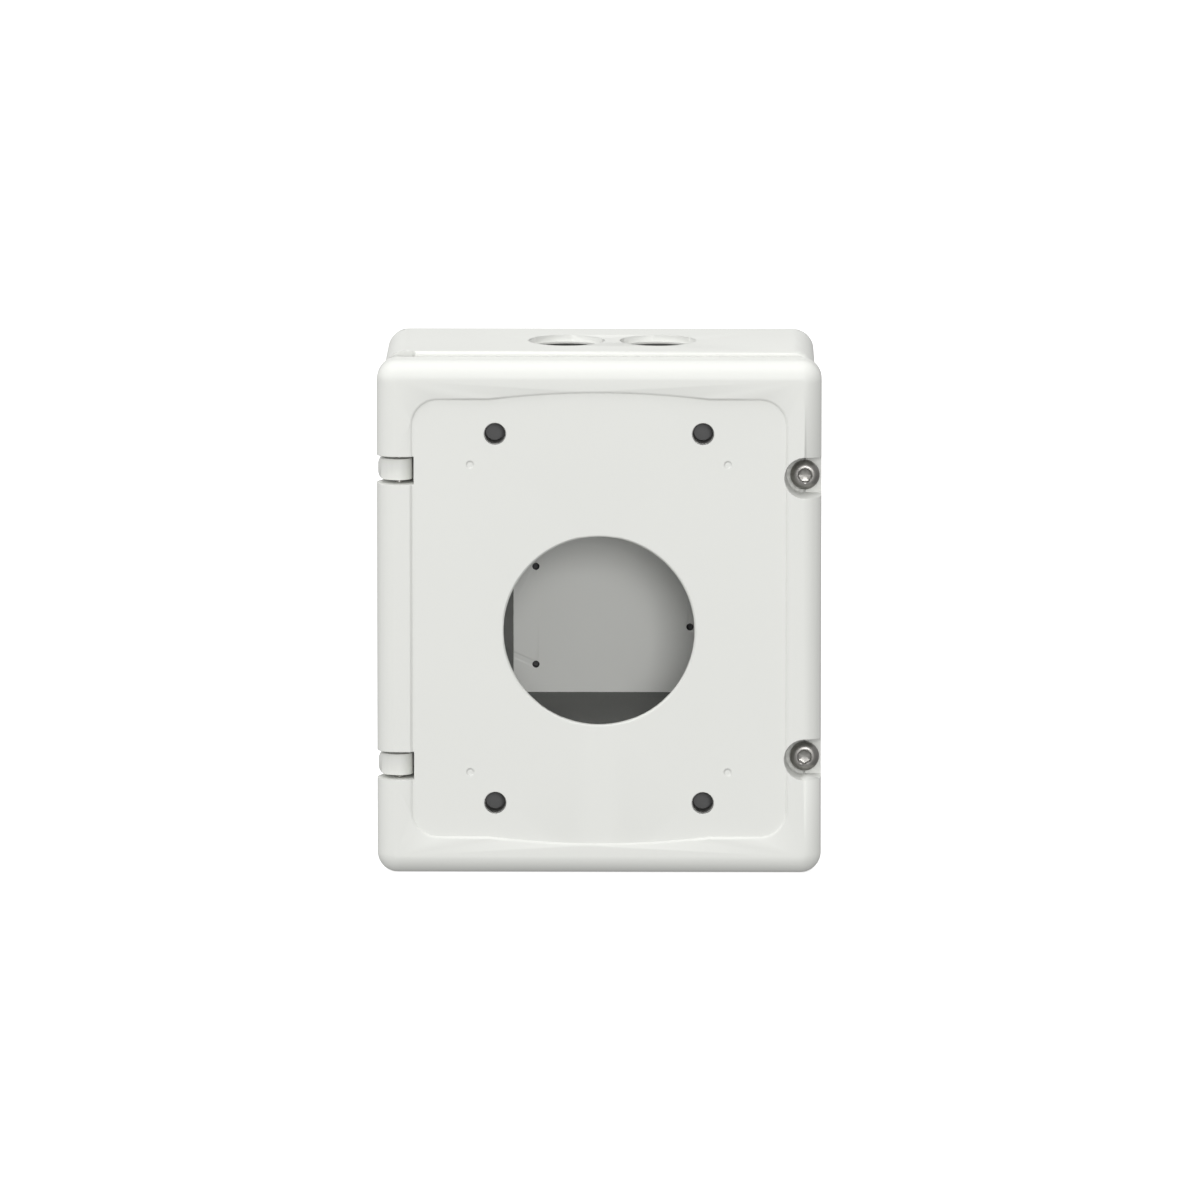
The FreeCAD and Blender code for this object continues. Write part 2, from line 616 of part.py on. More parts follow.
def round_hinge_side(body):
    """Takes the rear left corner off to a quarter round about the hinge axis, so that it can turn."""
    corner = level_sketch(body, "hinge_side_outline")
    axis_x, axis_y = number(AXIS_X), -number(AXIS_DEPTH)
    inset = number("sizes.hinge_inset")
    side, back = Vector(axis_x - inset, axis_y, 0), Vector(axis_x, axis_y + inset, 0)
    far, tip = Vector(side.x - 3, side.y, 0), Vector(side.x - 3, back.y, 0)
    circle = Part.Circle(Vector(axis_x, axis_y, 0), Vector(0, 0, 1), inset)
    corner.addGeometry(Part.ArcOfCircle(circle, math.radians(90), math.radians(180)), False)
    for start, end in ((side, far), (far, tip), (tip, back)):
        corner.addGeometry(Part.LineSegment(start, end), False)
    for joint in ((0, 2, 1, 1), (1, 2, 2, 1), (2, 2, 3, 1), (3, 2, 0, 1)):
        corner.addConstraint(Sketcher.Constraint("Coincident", *joint))
    drive_point(corner, 0, 3, AXIS_X, f"-{AXIS_DEPTH}")
    drive(corner, "Radius", 0, by="sizes.hinge_inset")
    corner.addConstraint(Sketcher.Constraint("Vertical", 0, 1, 0, 3))
    for line, direction in ((1, "Horizontal"), (2, "Vertical"), (3, "Horizontal")):
        corner.addConstraint(Sketcher.Constraint(direction, line))
    corner.addConstraint(Sketcher.Constraint("Horizontal", 0, 2, 0, 3))
    drive(corner, "DistanceX", 1, 2, 1, 1, by="3")
    extrude("Pocket", body, "hinge_side_round", corner, "3 * sizes.cover_height", both_ways=True)


def draw_panel(sketch):
    """The panel outline: straight sides, round corners and a shallow bow in the top and bottom edges."""
    side, top = "(sizes.panel_side - sizes.panel_slope)", "(sizes.panel_top - sizes.panel_slope)"
    corner, half = "(sizes.panel_corner - sizes.panel_slope)", "sizes.panel_bulge_half"
    x_side, z_top, radius, x_bow = map(number, (side, top, corner, half))
    rise = number("sizes.panel_bulge")

    def arc(across, up, start):
        circle = Part.Circle(Vector(across, up, 0), Vector(0, 0, 1), radius)
        return Part.ArcOfCircle(circle, math.radians(start), math.radians(start + 90))

    def bow(sign):
        ends = Vector(sign * x_bow, sign * z_top, 0), Vector(-sign * x_bow, sign * z_top, 0)
        return Part.Arc(ends[0], Vector(0, sign * (z_top + rise), 0), ends[1])

    x_arc, z_arc = x_side - radius, z_top - radius
    pieces = [
        Part.LineSegment(Vector(x_side, -z_arc, 0), Vector(x_side, z_arc, 0)),
        arc(x_arc, z_arc, 0),
        Part.LineSegment(Vector(x_arc, z_top, 0), Vector(x_bow, z_top, 0)),
        bow(1),
        Part.LineSegment(Vector(-x_bow, z_top, 0), Vector(-x_arc, z_top, 0)),
        arc(-x_arc, z_arc, 90),
        Part.LineSegment(Vector(-x_side, z_arc, 0), Vector(-x_side, -z_arc, 0)),
        arc(-x_arc, -z_arc, 180),
        Part.LineSegment(Vector(-x_arc, -z_top, 0), Vector(-x_bow, -z_top, 0)),
        bow(-1),
        Part.LineSegment(Vector(x_bow, -z_top, 0), Vector(x_arc, -z_top, 0)),
        arc(x_arc, -z_arc, 270),
    ]
    for piece in pieces:
        sketch.addGeometry(piece, False)
    tangent_steps = {0, 1, 4, 5, 6, 7, 10, 11}
    for step in range(12):
        kind = "Tangent" if step in tangent_steps else "Coincident"
        sketch.addConstraint(Sketcher.Constraint(kind, step, 2, (step + 1) % 12, 1))
    for line, direction in ((0, "Vertical"), (2, "Horizontal"), (4, "Horizontal"),
                            (6, "Vertical"), (8, "Horizontal"), (10, "Horizontal")):
        sketch.addConstraint(Sketcher.Constraint(direction, line))
    for index in (5, 7, 11):
        sketch.addConstraint(Sketcher.Constraint("Equal", 1, index))
    drive(sketch, "Radius", 1, by=corner)
    drive(sketch, "DistanceX", -1, 1, 0, 1, by=side)
    drive(sketch, "DistanceX", -1, 1, 6, 1, by=f"-{side}")
    drive_point(sketch, 2, 2, half, top)
    drive_point(sketch, 4, 1, f"-{half}", top)
    drive_point(sketch, 8, 2, f"-{half}", f"-{top}")
    drive_point(sketch, 10, 1, half, f"-{top}")
    bow_radius = "((sizes.panel_bulge_half ^ 2 + sizes.panel_bulge ^ 2) / (2 * sizes.panel_bulge))"
    drive(sketch, "Radius", 3, by=bow_radius)
    drive(sketch, "Radius", 9, by=bow_radius)


def cover_panel(body):
    """The recessed panel with sloping walls."""
    outline = front_sketch(body, "panel_outline", FRONT)
    draw_panel(outline)
    extrude("Pocket", body, "panel_recess", outline, "sizes.panel_depth")
    flat_side = number("sizes.cover_width / 2 - sizes.cover_edge") - 0.5
    flat_top = number("sizes.cover_height / 2 - sizes.cover_edge") - 0.5

    def is_panel_rim(edge):
        box = edge.BoundBox
        inside = max(-box.XMin, box.XMax) < flat_side and max(-box.ZMin, box.ZMax) < flat_top
        return inside and lies_at(edge, FRONT)

    soften("Chamfer", body, "panel_bevel", "sizes.panel_slope", is_panel_rim)


def cover_holes(body):
    """The round cable hole and the four bracket points, with bosses behind them for thread inserts."""
    bosses = front_sketch(body, "bracket_boss_outline", COVER_FLOOR)
    mouths = front_sketch(body, "bracket_mouth_outline", PANEL)
    seats = front_sketch(body, "bracket_insert_outline", INSERT_FRONT)
    for across in ("-sizes.bracket_half_width", "sizes.bracket_half_width"):
        for up in ("-sizes.bracket_half_height", "sizes.bracket_half_height"):
            draw_circle(bosses, across, up, "sizes.bracket_boss_radius")
            draw_circle(mouths, across, up, "sizes.bracket_mouth_radius")
            draw_hexagon(seats, "(sizes.bracket_insert_half_flats + sizes.bore_play)", 0, across, up)
    boss_length = f"{COVER_FLOOR} - {INSERT_FRONT} + sizes.bracket_insert_length + sizes.bracket_boss_end"
    extrude("Pad", body, "bracket_bosses", bosses, boss_length, backwards=True)
    extrude("Pocket", body, "bracket_seats", seats, "sizes.bracket_insert_length")
    extrude("Pocket", body, "bracket_mouths", mouths, "sizes.bracket_skin")
    hole = front_sketch(body, "cable_hole_outline", FRONT)
    draw_circle(hole, "0", "-sizes.hole_drop", "sizes.hole_radius")
    extrude("Pocket", body, "cable_hole", hole, "sizes.cover_wall + 1")

    def is_mouth(edge):
        circle = edge.Curve.TypeId == "Part::GeomCircle"
        return circle and lies_at(edge, PANEL) and abs(edge.Curve.Radius - number("sizes.hole_radius")) < 0.01

    soften("Chamfer", body, "hole_bevel", "sizes.hole_edge", is_mouth)


def draw_scoop(sketch, height, radius):
    """A round end at the screw and straight sides that run out past the cover's right edge."""
    across, up, size = number("sizes.screw_side"), number(height), number(radius)
    end = across + 2 * number("sizes.scoop_radius")
    first = sketch.GeometryCount
    circle = Part.Circle(Vector(across, up, 0), Vector(0, 0, 1), size)
    sketch.addGeometry(Part.ArcOfCircle(circle, math.radians(90), math.radians(270)), False)
    corners = [Vector(across, up - size, 0), Vector(end, up - size, 0),
               Vector(end, up + size, 0), Vector(across, up + size, 0)]
    for start, stop in zip(corners, corners[1:]):
        sketch.addGeometry(Part.LineSegment(start, stop), False)
    sketch.addConstraint(Sketcher.Constraint("Tangent", first, 2, first + 1, 1))
    sketch.addConstraint(Sketcher.Constraint("Coincident", first + 1, 2, first + 2, 1))
    sketch.addConstraint(Sketcher.Constraint("Coincident", first + 2, 2, first + 3, 1))
    sketch.addConstraint(Sketcher.Constraint("Tangent", first + 3, 2, first, 1))
    sketch.addConstraint(Sketcher.Constraint("Horizontal", first + 1))
    sketch.addConstraint(Sketcher.Constraint("Vertical", first + 2))
    drive_point(sketch, first, 3, "sizes.screw_side", height)
    drive(sketch, "Radius", first, by=radius)
    drive(sketch, "DistanceX", first, 3, first + 1, 2, by="2 * sizes.scoop_radius")


def cover_screw_scoops(body):
    """Scooped recesses for the screw heads, with the screw holes and seats for the retaining rings."""
    scoops = front_sketch(body, "scoop_outline", FRONT)
    for height in ("sizes.screw_height", "-sizes.screw_height"):
        draw_scoop(scoops, height, "sizes.scoop_radius")
    extrude("Pocket", body, "screw_scoops", scoops, "sizes.scoop_depth")

    def is_scoop_wall(face):
        box = face.BoundBox
        right = box.XMin > number("sizes.screw_side - sizes.scoop_radius") - 0.1
        middle = abs(box.Center.z)
        near = abs(middle - number("sizes.screw_height")) < number("sizes.scoop_radius") + 0.1
        spans = abs(box.YMax + number(SCOOP_FLOOR)) < 0.01 and box.YLength > 1
        return right and near and spans

    lean(body, "scoop_draft", "sizes.scoop_draft", FRONT, is_scoop_wall, outwards=True)
    holes = front_sketch(body, "screw_hole_outline", SCOOP_FLOOR)
    seats = front_sketch(body, "ring_seat_outline", SEAM)
    for height in ("sizes.screw_height", "-sizes.screw_height"):
        draw_circle(holes, "sizes.screw_side", height, "sizes.screw_hole_radius")
        draw_circle(seats, "sizes.screw_side", height, "sizes.ring_radius + sizes.bore_play")
    extrude("Pocket", body, "screw_holes", holes, "sizes.cover_depth")
    extrude("Pocket", body, "ring_seats", seats, "sizes.ring_thickness + sizes.bore_play", backwards=True)


def cover_hinge_notches(body):
    """Notches for the housing's lugs and the bores above and below them for the hinge pins."""
    notches = front_sketch(body, "notch_outline", FRONT)
    for sign in ("", "-"):
        draw_rectangle(notches, "-sizes.cover_width / 2 - 1", f"{AXIS_X} + sizes.notch_reach",
                       f"{sign}sizes.hinge_height - sizes.notch_half",
                       f"{sign}sizes.hinge_height + sizes.notch_half")
    extrude("Pocket", body, "hinge_notches", notches, "sizes.cover_depth + 1")
    for name, sign in (("upper", ""), ("lower", "-")):
        bore = level_sketch(body, f"pin_bore_outline_{name}", f"{sign}sizes.hinge_height")
        draw_circle(bore, AXIS_X, f"-{AXIS_DEPTH}", "sizes.pin_radius + sizes.pin_clearance")
        extrude("Pocket", body, f"pin_bore_{name}", bore,
                "2 * (sizes.notch_half + sizes.knuckle_length) + 2", both_ways=True)


def cover_gasket_groove(body):
    groove = front_sketch(body, "gasket_groove_outline", SEAM)
    draw_gasket_ring(groove, "0")
    extrude("Pocket", body, "gasket_groove", groove, "sizes.gasket_groove_depth", backwards=True)


def draw_gasket_ring(sketch, play):
    """Two rounded rectangles, one inside the other; play narrows the ring on both sides."""
    for inset in (f"({play})", f"(sizes.gasket_width - {play})"):
        side, top = f"(sizes.gasket_outer_side - {inset})", f"(sizes.gasket_outer_top - {inset})"
        draw_rounded_rectangle(sketch, f"-{side}", side, f"-{top}", top,
                               f"sizes.gasket_corner - {inset}")


def make_front_cover():
    body = new_body("front_cover")
    cover_shell(body)
    cover_panel(body)
    cover_holes(body)
    cover_screw_scoops(body)
    cover_hinge_notches(body)
    cover_gasket_groove(body)


# Gasket

def make_cover_gasket():
    body = new_body("cover_gasket")
    ring = front_sketch(body, "gasket_outline", "sizes.box_depth + sizes.gasket_clearance")
    draw_gasket_ring(ring, "sizes.gasket_side_play")
    extrude("Pad", body, "gasket_ring", ring,
            f"{GASKET_FLOOR} - sizes.box_depth - sizes.gasket_clearance")


# Turned pieces: each is a half profile turned about its own axis

def turned(name, role, profile, centre):
    """A revolved body: profile lists radius and distance along the axis, centre places the axis."""
    body = new_body(name)
    sketch = sketch_on(body, name + "_profile", role)
    draw_polygon(sketch, profile)
    turn = body.newObject("PartDesign::Revolution", name + "_turned")
    turn.Profile = sketch
    turn.ReferenceAxis = (sketch, ["V_Axis"])
    turn.Angle = 360
    turn.Refine = False
    for axis, expression in zip("xyz", centre):
        body.setExpression(f"Placement.Base.{axis}", expression)
    return body


def make_hinge_pin(name, sign):
    """A headed pin through both knuckles and the lug; the head faces the middle of the cover."""
    span = "(sizes.notch_half + sizes.knuckle_length)"
    ends = [
        ("0", f"-{span} - sizes.pin_head_height"),
        ("sizes.pin_head_radius", f"-{span} - sizes.pin_head_height"),
        ("sizes.pin_head_radius", f"-{span}"),
        ("sizes.pin_radius", f"-{span}"),
        ("sizes.pin_radius", span),
        ("0", span),
    ]
    profile = [(radius, f"{sign}({height})") for radius, height in ends]
    turned(name, "XZ_Plane", profile, (AXIS_X, f"-{AXIS_DEPTH}", f"{sign}sizes.hinge_height"))


def make_cover_screw(name, height):
    """A button-head screw with a hexagon socket; its shank stops a few turns into the insert."""
    floor = f"({SCOOP_FLOOR} + sizes.washer_thickness)"
    head_top = f"({floor} + sizes.screw_head_height)"
    tip = "(sizes.box_depth - sizes.screw_engagement)"
    profile = [
        ("0", f"-{head_top}"),
        ("sizes.screw_head_radius * sizes.screw_crown", f"-{head_top}"),
        ("sizes.screw_head_radius", f"-{floor} - sizes.screw_head_height * (1 - sizes.screw_shoulder)"),
        ("sizes.screw_head_radius", f"-{floor}"),
        ("sizes.screw_shank_radius", f"-{floor}"),
        ("sizes.screw_shank_radius", f"-{tip}"),
        ("0", f"-{tip}"),
    ]
    body = turned(name, "XY_Plane", profile, ("sizes.screw_side", "0", height))
    socket = front_sketch(body, name + "_socket_outline", head_top)
    draw_hexagon(socket, "sizes.screw_socket_flats / 2", 0 if height[0] == "-" else 30)
    extrude("Pocket", body, name + "_socket", socket, "sizes.screw_socket_depth")


def draw_hexagon(sketch, inner_radius, turn, across="0", up="0"):
    """A regular hexagon about a point, given by half its width across flats."""
    outer = f"({inner_radius} / cos(30 deg))"
    points = []
    for corner in range(6):
        angle = 60 * corner + turn + 30
        points.append((f"{across} + {outer} * cos({angle} deg)", f"{up} + {outer} * sin({angle} deg)"))
    draw_polygon(sketch, points)


def flat_ring(name, outer, inner, depth, thickness, across, up, hexagonal=False):
    """A washer, ring or insert that lies flat against a plane facing the front."""
    body = new_body(name)
    ring = front_sketch(body, name + "_outline", depth)
    if hexagonal:
        draw_hexagon(ring, outer, 0)
    else:
        draw_circle(ring, "0", "0", outer)
    draw_circle(ring, "0", "0", inner)
    extrude("Pad", body, name + "_disc", ring, thickness)
    body.setExpression("Placement.Base.x", across)
    body.setExpression("Placement.Base.z", up)


def make_cover_fasteners():
    for name, height in (("upper", "sizes.screw_height"), ("lower", "-sizes.screw_height")):
        make_cover_screw(f"cover_screw_{name}", height)
        flat_ring(f"cover_screw_washer_{name}", "sizes.washer_radius", "sizes.screw_shank_radius + 0.3",
                  SCOOP_FLOOR, "sizes.washer_thickness", "sizes.screw_side", height)
        flat_ring(f"screw_retaining_ring_{name}", "sizes.ring_radius",
                  "sizes.screw_shank_radius + sizes.bore_play",
                  SEAM, "sizes.ring_thickness", "sizes.screw_side", height)
        flat_ring(f"housing_insert_{name}", "sizes.insert_half_flats", "sizes.insert_bore",
                  "sizes.box_depth - sizes.insert_length", "sizes.insert_length",
                  "sizes.screw_side", height, hexagonal=True)


def make_bracket_inserts():
    """Hexagonal steel thread inserts behind the four bracket holes."""
    for row, up in (("upper", "sizes.bracket_half_height"), ("lower", "-sizes.bracket_half_height")):
        for column, across in (("left", "-sizes.bracket_half_width"), ("right", "sizes.bracket_half_width")):
            flat_ring(f"bracket_insert_{row}_{column}", "sizes.bracket_insert_half_flats",
                      "sizes.bracket_thread_radius", f"{INSERT_FRONT} - sizes.bracket_insert_length",
                      "sizes.bracket_insert_length", across, up, hexagonal=True)


# Inner divider

def draw_channel(sketch, splay):
    """A U seen from the front; splay moves both side walls outwards."""
    middle, wall = "sizes.conduit_middle", "sizes.divider_wall"
    half = f"(sizes.divider_half_width + {splay})"
    floor, top = "(-sizes.divider_floor)", "sizes.divider_top"
    draw_polygon(sketch, [
        (f"{middle} - {half} - {wall}", top),
        (f"{middle} - {half} - {wall}", f"{floor} - {wall}"),
        (f"{middle} + {half} + {wall}", f"{floor} - {wall}"),
        (f"{middle} + {half} + {wall}", top),
        (f"{middle} + {half}", top),
        (f"{middle} + {half}", floor),
        (f"{middle} - {half}", floor),
        (f"{middle} - {half}", top),
    ])


def make_inner_divider():
    """A moulded channel round the cable space, with four ears on the back wall and a front tongue."""
    body = new_body("inner_divider")
    back = front_sketch(body, "divider_back_outline", "sizes.back_wall")
    draw_channel(back, "0")
    front = front_sketch(body, "divider_front_outline", "sizes.divider_front")
    draw_channel(front, "sizes.divider_splay")
    loft("AdditiveLoft", body, "divider_channel", [back, front])
    tongue = front_sketch(body, "divider_tongue_outline", "sizes.divider_front")
    half = "(sizes.divider_half_width + sizes.divider_splay)"
    draw_rectangle(tongue, f"sizes.conduit_middle - {half}", f"sizes.conduit_middle + {half}",
                   "-sizes.divider_floor - sizes.divider_wall", "-sizes.divider_floor")
    extrude("Pad", body, "divider_tongue", tongue, "sizes.divider_tongue")
    ears = front_sketch(body, "divider_ear_outline", "sizes.back_wall")
    holes = front_sketch(body, "divider_ear_holes", "sizes.back_wall")
    reach = "(sizes.divider_half_width + sizes.divider_wall + sizes.ear_size)"
    start = "(sizes.divider_half_width + sizes.divider_wall / 2)"
    for up in ("sizes.ear_upper", "-sizes.ear_lower"):
        low, high = f"{up} - sizes.ear_size / 2", f"{up} + sizes.ear_size / 2"
        draw_rectangle(ears, f"sizes.conduit_middle - {reach}", f"sizes.conduit_middle - {start}", low, high)
        draw_rectangle(ears, f"sizes.conduit_middle + {start}", f"sizes.conduit_middle + {reach}", low, high)
    extrude("Pad", body, "divider_ears", ears, "sizes.ear_thickness")
    for across, up in divider_screw_places():
        draw_circle(holes, across, up, "sizes.small_screw_hole + 0.2")
    extrude("Pocket", body, "divider_ear_bores", holes, "sizes.ear_thickness", backwards=True)


# Screws with a cross slot

def cross_head_screw(name, across, up, seat, head_radius, head_height, shank_radius, length):
    """A pan-head screw whose head stands on the plane at seat and faces the front."""
    top = f"({seat} + {head_height})"
    profile = [
        ("0", f"-{top}"),
        (f"{head_radius} * sizes.pan_crown", f"-{top}"),
        (head_radius, f"-({seat})"),
        (shank_radius, f"-({seat})"),
        (shank_radius, f"-({seat}) + {length}"),
        ("0", f"-({seat}) + {length}"),
    ]
    body = turned(name, "XY_Plane", profile, (across, "0", up))
    slot = front_sketch(body, name + "_slot_outline", top)
    draw_cross(slot, "sizes.cross_slot_half", "sizes.cross_slot_width / 2")
    extrude("Pocket", body, name + "_slot", slot, "sizes.cross_slot_depth")


def draw_cross(sketch, long, short):
    """A plus sign about the sketch's origin."""
    quarter = [(long, short), (short, short), (short, long)]
    points = []
    for x_sign, y_sign, flip in (("", "", False), ("-", "", True), ("-", "-", False), ("", "-", True)):
        corners = [(f"{x_sign}({x})", f"{y_sign}({y})") for x, y in quarter]
        points += corners[::-1] if flip else corners
    draw_polygon(sketch, points)


def make_small_screws():
    names = ("upper_left", "lower_left", "upper_right", "lower_right")
    for name, (across, up) in zip(names, divider_screw_places()):
        cross_head_screw(f"divider_screw_{name}", across, up,
                         "(sizes.back_wall + sizes.ear_thickness)",
                         "sizes.small_head_radius", "sizes.small_head_height",
                         "sizes.small_screw_radius",
                         "(sizes.ear_thickness + sizes.small_screw_length)")
    boss_top = "(sizes.back_wall + sizes.earth_boss_height)"
    flat_ring("earth_washer", "sizes.earth_washer_radius", "sizes.earth_screw_radius + 0.2",
              boss_top, "sizes.earth_washer_thickness", "sizes.earth_side", "-sizes.earth_drop")
    cross_head_screw("earth_screw", "sizes.earth_side", "-sizes.earth_drop",
                     f"({boss_top} + sizes.earth_washer_thickness)",
                     "sizes.earth_head_radius", "sizes.earth_head_height",
                     "sizes.earth_screw_radius", "sizes.earth_screw_length")


# Build, check and write

def check_and_export():
    doc.recompute()
    for item in doc.Objects:
        if "Invalid" in item.State or "Error" in item.State:
            raise RuntimeError(f"{item.Label} did not build: {item.State}")
    os.makedirs("parts", exist_ok=True)
    for body in doc.findObjects("PartDesign::Body"):
        if body.Shape.isNull() or not body.Shape.isValid():
            raise RuntimeError(f"{body.Label} has no valid shape")
        body.Shape.exportStep(f"parts/{body.Label}.step")


make_housing()
make_front_cover()
make_cover_gasket()
make_hinge_pin("hinge_pin_upper", "")
make_hinge_pin("hinge_pin_lower", "-")
make_cover_fasteners()
make_bracket_inserts()
make_inner_divider()
make_small_screws()
check_and_export()
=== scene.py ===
import math

import bmesh
import bpy
import numpy as np
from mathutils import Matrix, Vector


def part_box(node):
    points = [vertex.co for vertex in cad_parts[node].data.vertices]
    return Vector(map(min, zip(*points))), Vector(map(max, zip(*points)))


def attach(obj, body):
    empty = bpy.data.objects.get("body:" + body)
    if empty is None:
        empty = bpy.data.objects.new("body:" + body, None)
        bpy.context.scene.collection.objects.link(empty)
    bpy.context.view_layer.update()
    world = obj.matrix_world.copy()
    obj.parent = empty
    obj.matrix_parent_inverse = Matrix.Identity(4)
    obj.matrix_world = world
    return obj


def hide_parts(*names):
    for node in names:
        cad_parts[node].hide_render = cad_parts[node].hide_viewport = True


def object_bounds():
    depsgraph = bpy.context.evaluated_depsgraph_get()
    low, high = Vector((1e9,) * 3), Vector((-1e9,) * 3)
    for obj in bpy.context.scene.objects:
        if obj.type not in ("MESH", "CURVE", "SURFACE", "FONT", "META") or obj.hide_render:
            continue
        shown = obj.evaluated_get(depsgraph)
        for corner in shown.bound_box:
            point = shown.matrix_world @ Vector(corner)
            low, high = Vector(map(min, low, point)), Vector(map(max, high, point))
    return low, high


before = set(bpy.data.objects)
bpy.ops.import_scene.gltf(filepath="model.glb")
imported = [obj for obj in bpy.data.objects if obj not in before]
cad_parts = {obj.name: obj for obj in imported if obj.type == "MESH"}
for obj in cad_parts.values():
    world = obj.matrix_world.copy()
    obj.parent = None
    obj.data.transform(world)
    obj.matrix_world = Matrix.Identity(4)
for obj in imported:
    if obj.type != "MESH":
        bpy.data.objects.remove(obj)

bl_info = {
    "name": "Camera junction box",
    "version": (1, 0, 0),
    "blender": (4, 5, 0),
    "location": "3D View > Sidebar > Junction box",
    "description": "Dresses the packed camera junction box with finished surfaces and sets its studio",
    "category": "Object",
}

CAD_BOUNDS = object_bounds()
MM = 0.001
TAU = 2 * math.pi
FRONT = np.array([0.0, -1.0, 0.0])
UP = np.array([0.0, 0.0, 1.0])
LEVELS = ("upper", "lower")
SIDES = ("left", "right")


# Places read from the frame

def corners(node):
    """The lowest and highest corner of a CAD node, as arrays."""
    low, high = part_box(node)
    return np.array(low), np.array(high)


def middle(node):
    low, high = corners(node)
    return (low + high) / 2


# Settings that a user would change

class BoxFinishSettings(bpy.types.PropertyGroup):
    """Colours and grain of the box's finishes."""
    coat_colour: bpy.props.FloatVectorProperty(
        name="Coat colour", description="Powder coat on the box and cover", subtype="COLOR",
        size=3, min=0, max=1, default=(0.75, 0.757, 0.724))
    coat_grain: bpy.props.FloatProperty(
        name="Coat grain", description="Width of the powder coat's ripples", unit="LENGTH",
        default=1.3 * MM, min=0.2 * MM, max=5 * MM)
    edge_radius: bpy.props.FloatProperty(
        name="Edge radius", description="Radius that the coat gives to cast edges", unit="LENGTH",
        default=0.55 * MM, min=0.0, max=2 * MM)
    steel_colour: bpy.props.FloatVectorProperty(
        name="Steel colour", description="Stainless steel of the screws, pins and washers", subtype="COLOR",
        size=3, min=0, max=1, default=(0.42, 0.41, 0.39))
    plating_colour: bpy.props.FloatVectorProperty(
        name="Plating colour", description="Plated thread inserts", subtype="COLOR",
        size=3, min=0, max=1, default=(0.30, 0.30, 0.29))
    divider_colour: bpy.props.FloatVectorProperty(
        name="Divider colour", description="Moulded inner channel", subtype="COLOR",
        size=3, min=0, max=1, default=(0.044, 0.046, 0.041))
    rubber_colour: bpy.props.FloatVectorProperty(
        name="Rubber colour", description="Cover gasket", subtype="COLOR",
        size=3, min=0, max=1, default=(0.025, 0.025, 0.025))
    nylon_colour: bpy.props.FloatVectorProperty(
        name="Nylon colour", description="Retaining rings behind the cover", subtype="COLOR",
        size=3, min=0, max=1, default=(0.72, 0.71, 0.66))


class BoxHardwareSettings(bpy.types.PropertyGroup):
    """Sizes of the small hardware that the frame leaves plain."""
    socket_flats: bpy.props.FloatProperty(
        name="Socket flats", description="Width across the flats of the cover screws' sockets",
        unit="LENGTH", default=5.6 * MM)
    socket_depth: bpy.props.FloatProperty(
        name="Socket depth", description="Depth of the hexagon before its pointed floor",
        unit="LENGTH", default=2.4 * MM)
    screw_pitch: bpy.props.FloatProperty(
        name="Cover screw pitch", description="Thread pitch of the cover screws and their inserts",
        unit="LENGTH", default=1.25 * MM)
    bracket_pitch: bpy.props.FloatProperty(
        name="Bracket thread pitch", description="Thread pitch of the bracket inserts",
        unit="LENGTH", default=1.5 * MM)


class BoxStageSettings(bpy.types.PropertyGroup):
    """The camera and the studio light."""
    distance: bpy.props.FloatProperty(
        name="Camera distance", description="From the camera to the front of the cover",
        unit="LENGTH", default=8.0)
    view_width: bpy.props.FloatProperty(
        name="View width", description="Width that the picture takes in at the front of the cover",
        unit="LENGTH", default=577.2 * MM)
    elevation: bpy.props.FloatProperty(
        name="Elevation", description="Height of the camera above the horizon", subtype="ANGLE",
        default=math.radians(9.5))
    azimuth: bpy.props.FloatProperty(
        name="Azimuth", description="Turn of the camera to the right of the cover's middle",
        subtype="ANGLE", default=math.radians(0.55))
    aim_right: bpy.props.FloatProperty(
        name="Aim right", description="Right of the cover's middle", unit="LENGTH", default=0.5 * MM)
    aim_up: bpy.props.FloatProperty(
        name="Aim up", description="Above the cover's middle", unit="LENGTH", default=9.4 * MM)
    room_light: bpy.props.FloatProperty(
        name="Room light", description="Strength of the room's light at eye level", default=0.51, min=0)
    key_light: bpy.props.FloatProperty(
        name="Key light", description="Power of the soft light at the upper left",
        unit="POWER", default=30.0, min=0)
    top_light: bpy.props.FloatProperty(
        name="Top light", description="Power of the soft light overhead",
        unit="POWER", default=50.0, min=0)
    front_light: bpy.props.FloatProperty(
        name="Front light", description="Power of the soft light behind the camera",
        unit="POWER", default=312.0, min=0)


# Shader maths

class Value:
    """One output socket of a node tree; sums on it add Math nodes."""

    def __init__(self, maker, socket):
        self.maker = maker
        self.socket = socket

    def maths(self, operation, *operands):
        return self.maker.node("ShaderNodeMath", {"operation": operation}, dict(enumerate(operands)))

    def __add__(self, other):
        return self.maths("ADD", self, other)

    def __sub__(self, other):
        return self.maths("SUBTRACT", self, other)

    def __rsub__(self, other):
        return self.maths("SUBTRACT", other, self)

    def __mul__(self, other):
        return self.maths("MULTIPLY", self, other)

    def __lt__(self, other):
        return self.maths("LESS_THAN", self, other)

    def __gt__(self, other):
        return self.maths("GREATER_THAN", self, other)

    def __abs__(self):
        return self.maths("ABSOLUTE", self)

    def sign(self):
        return self.maths("SIGN", self)

    def power(self, exponent):
        return self.maths("POWER", self, exponent)

    __radd__ = __add__
    __rmul__ = __mul__


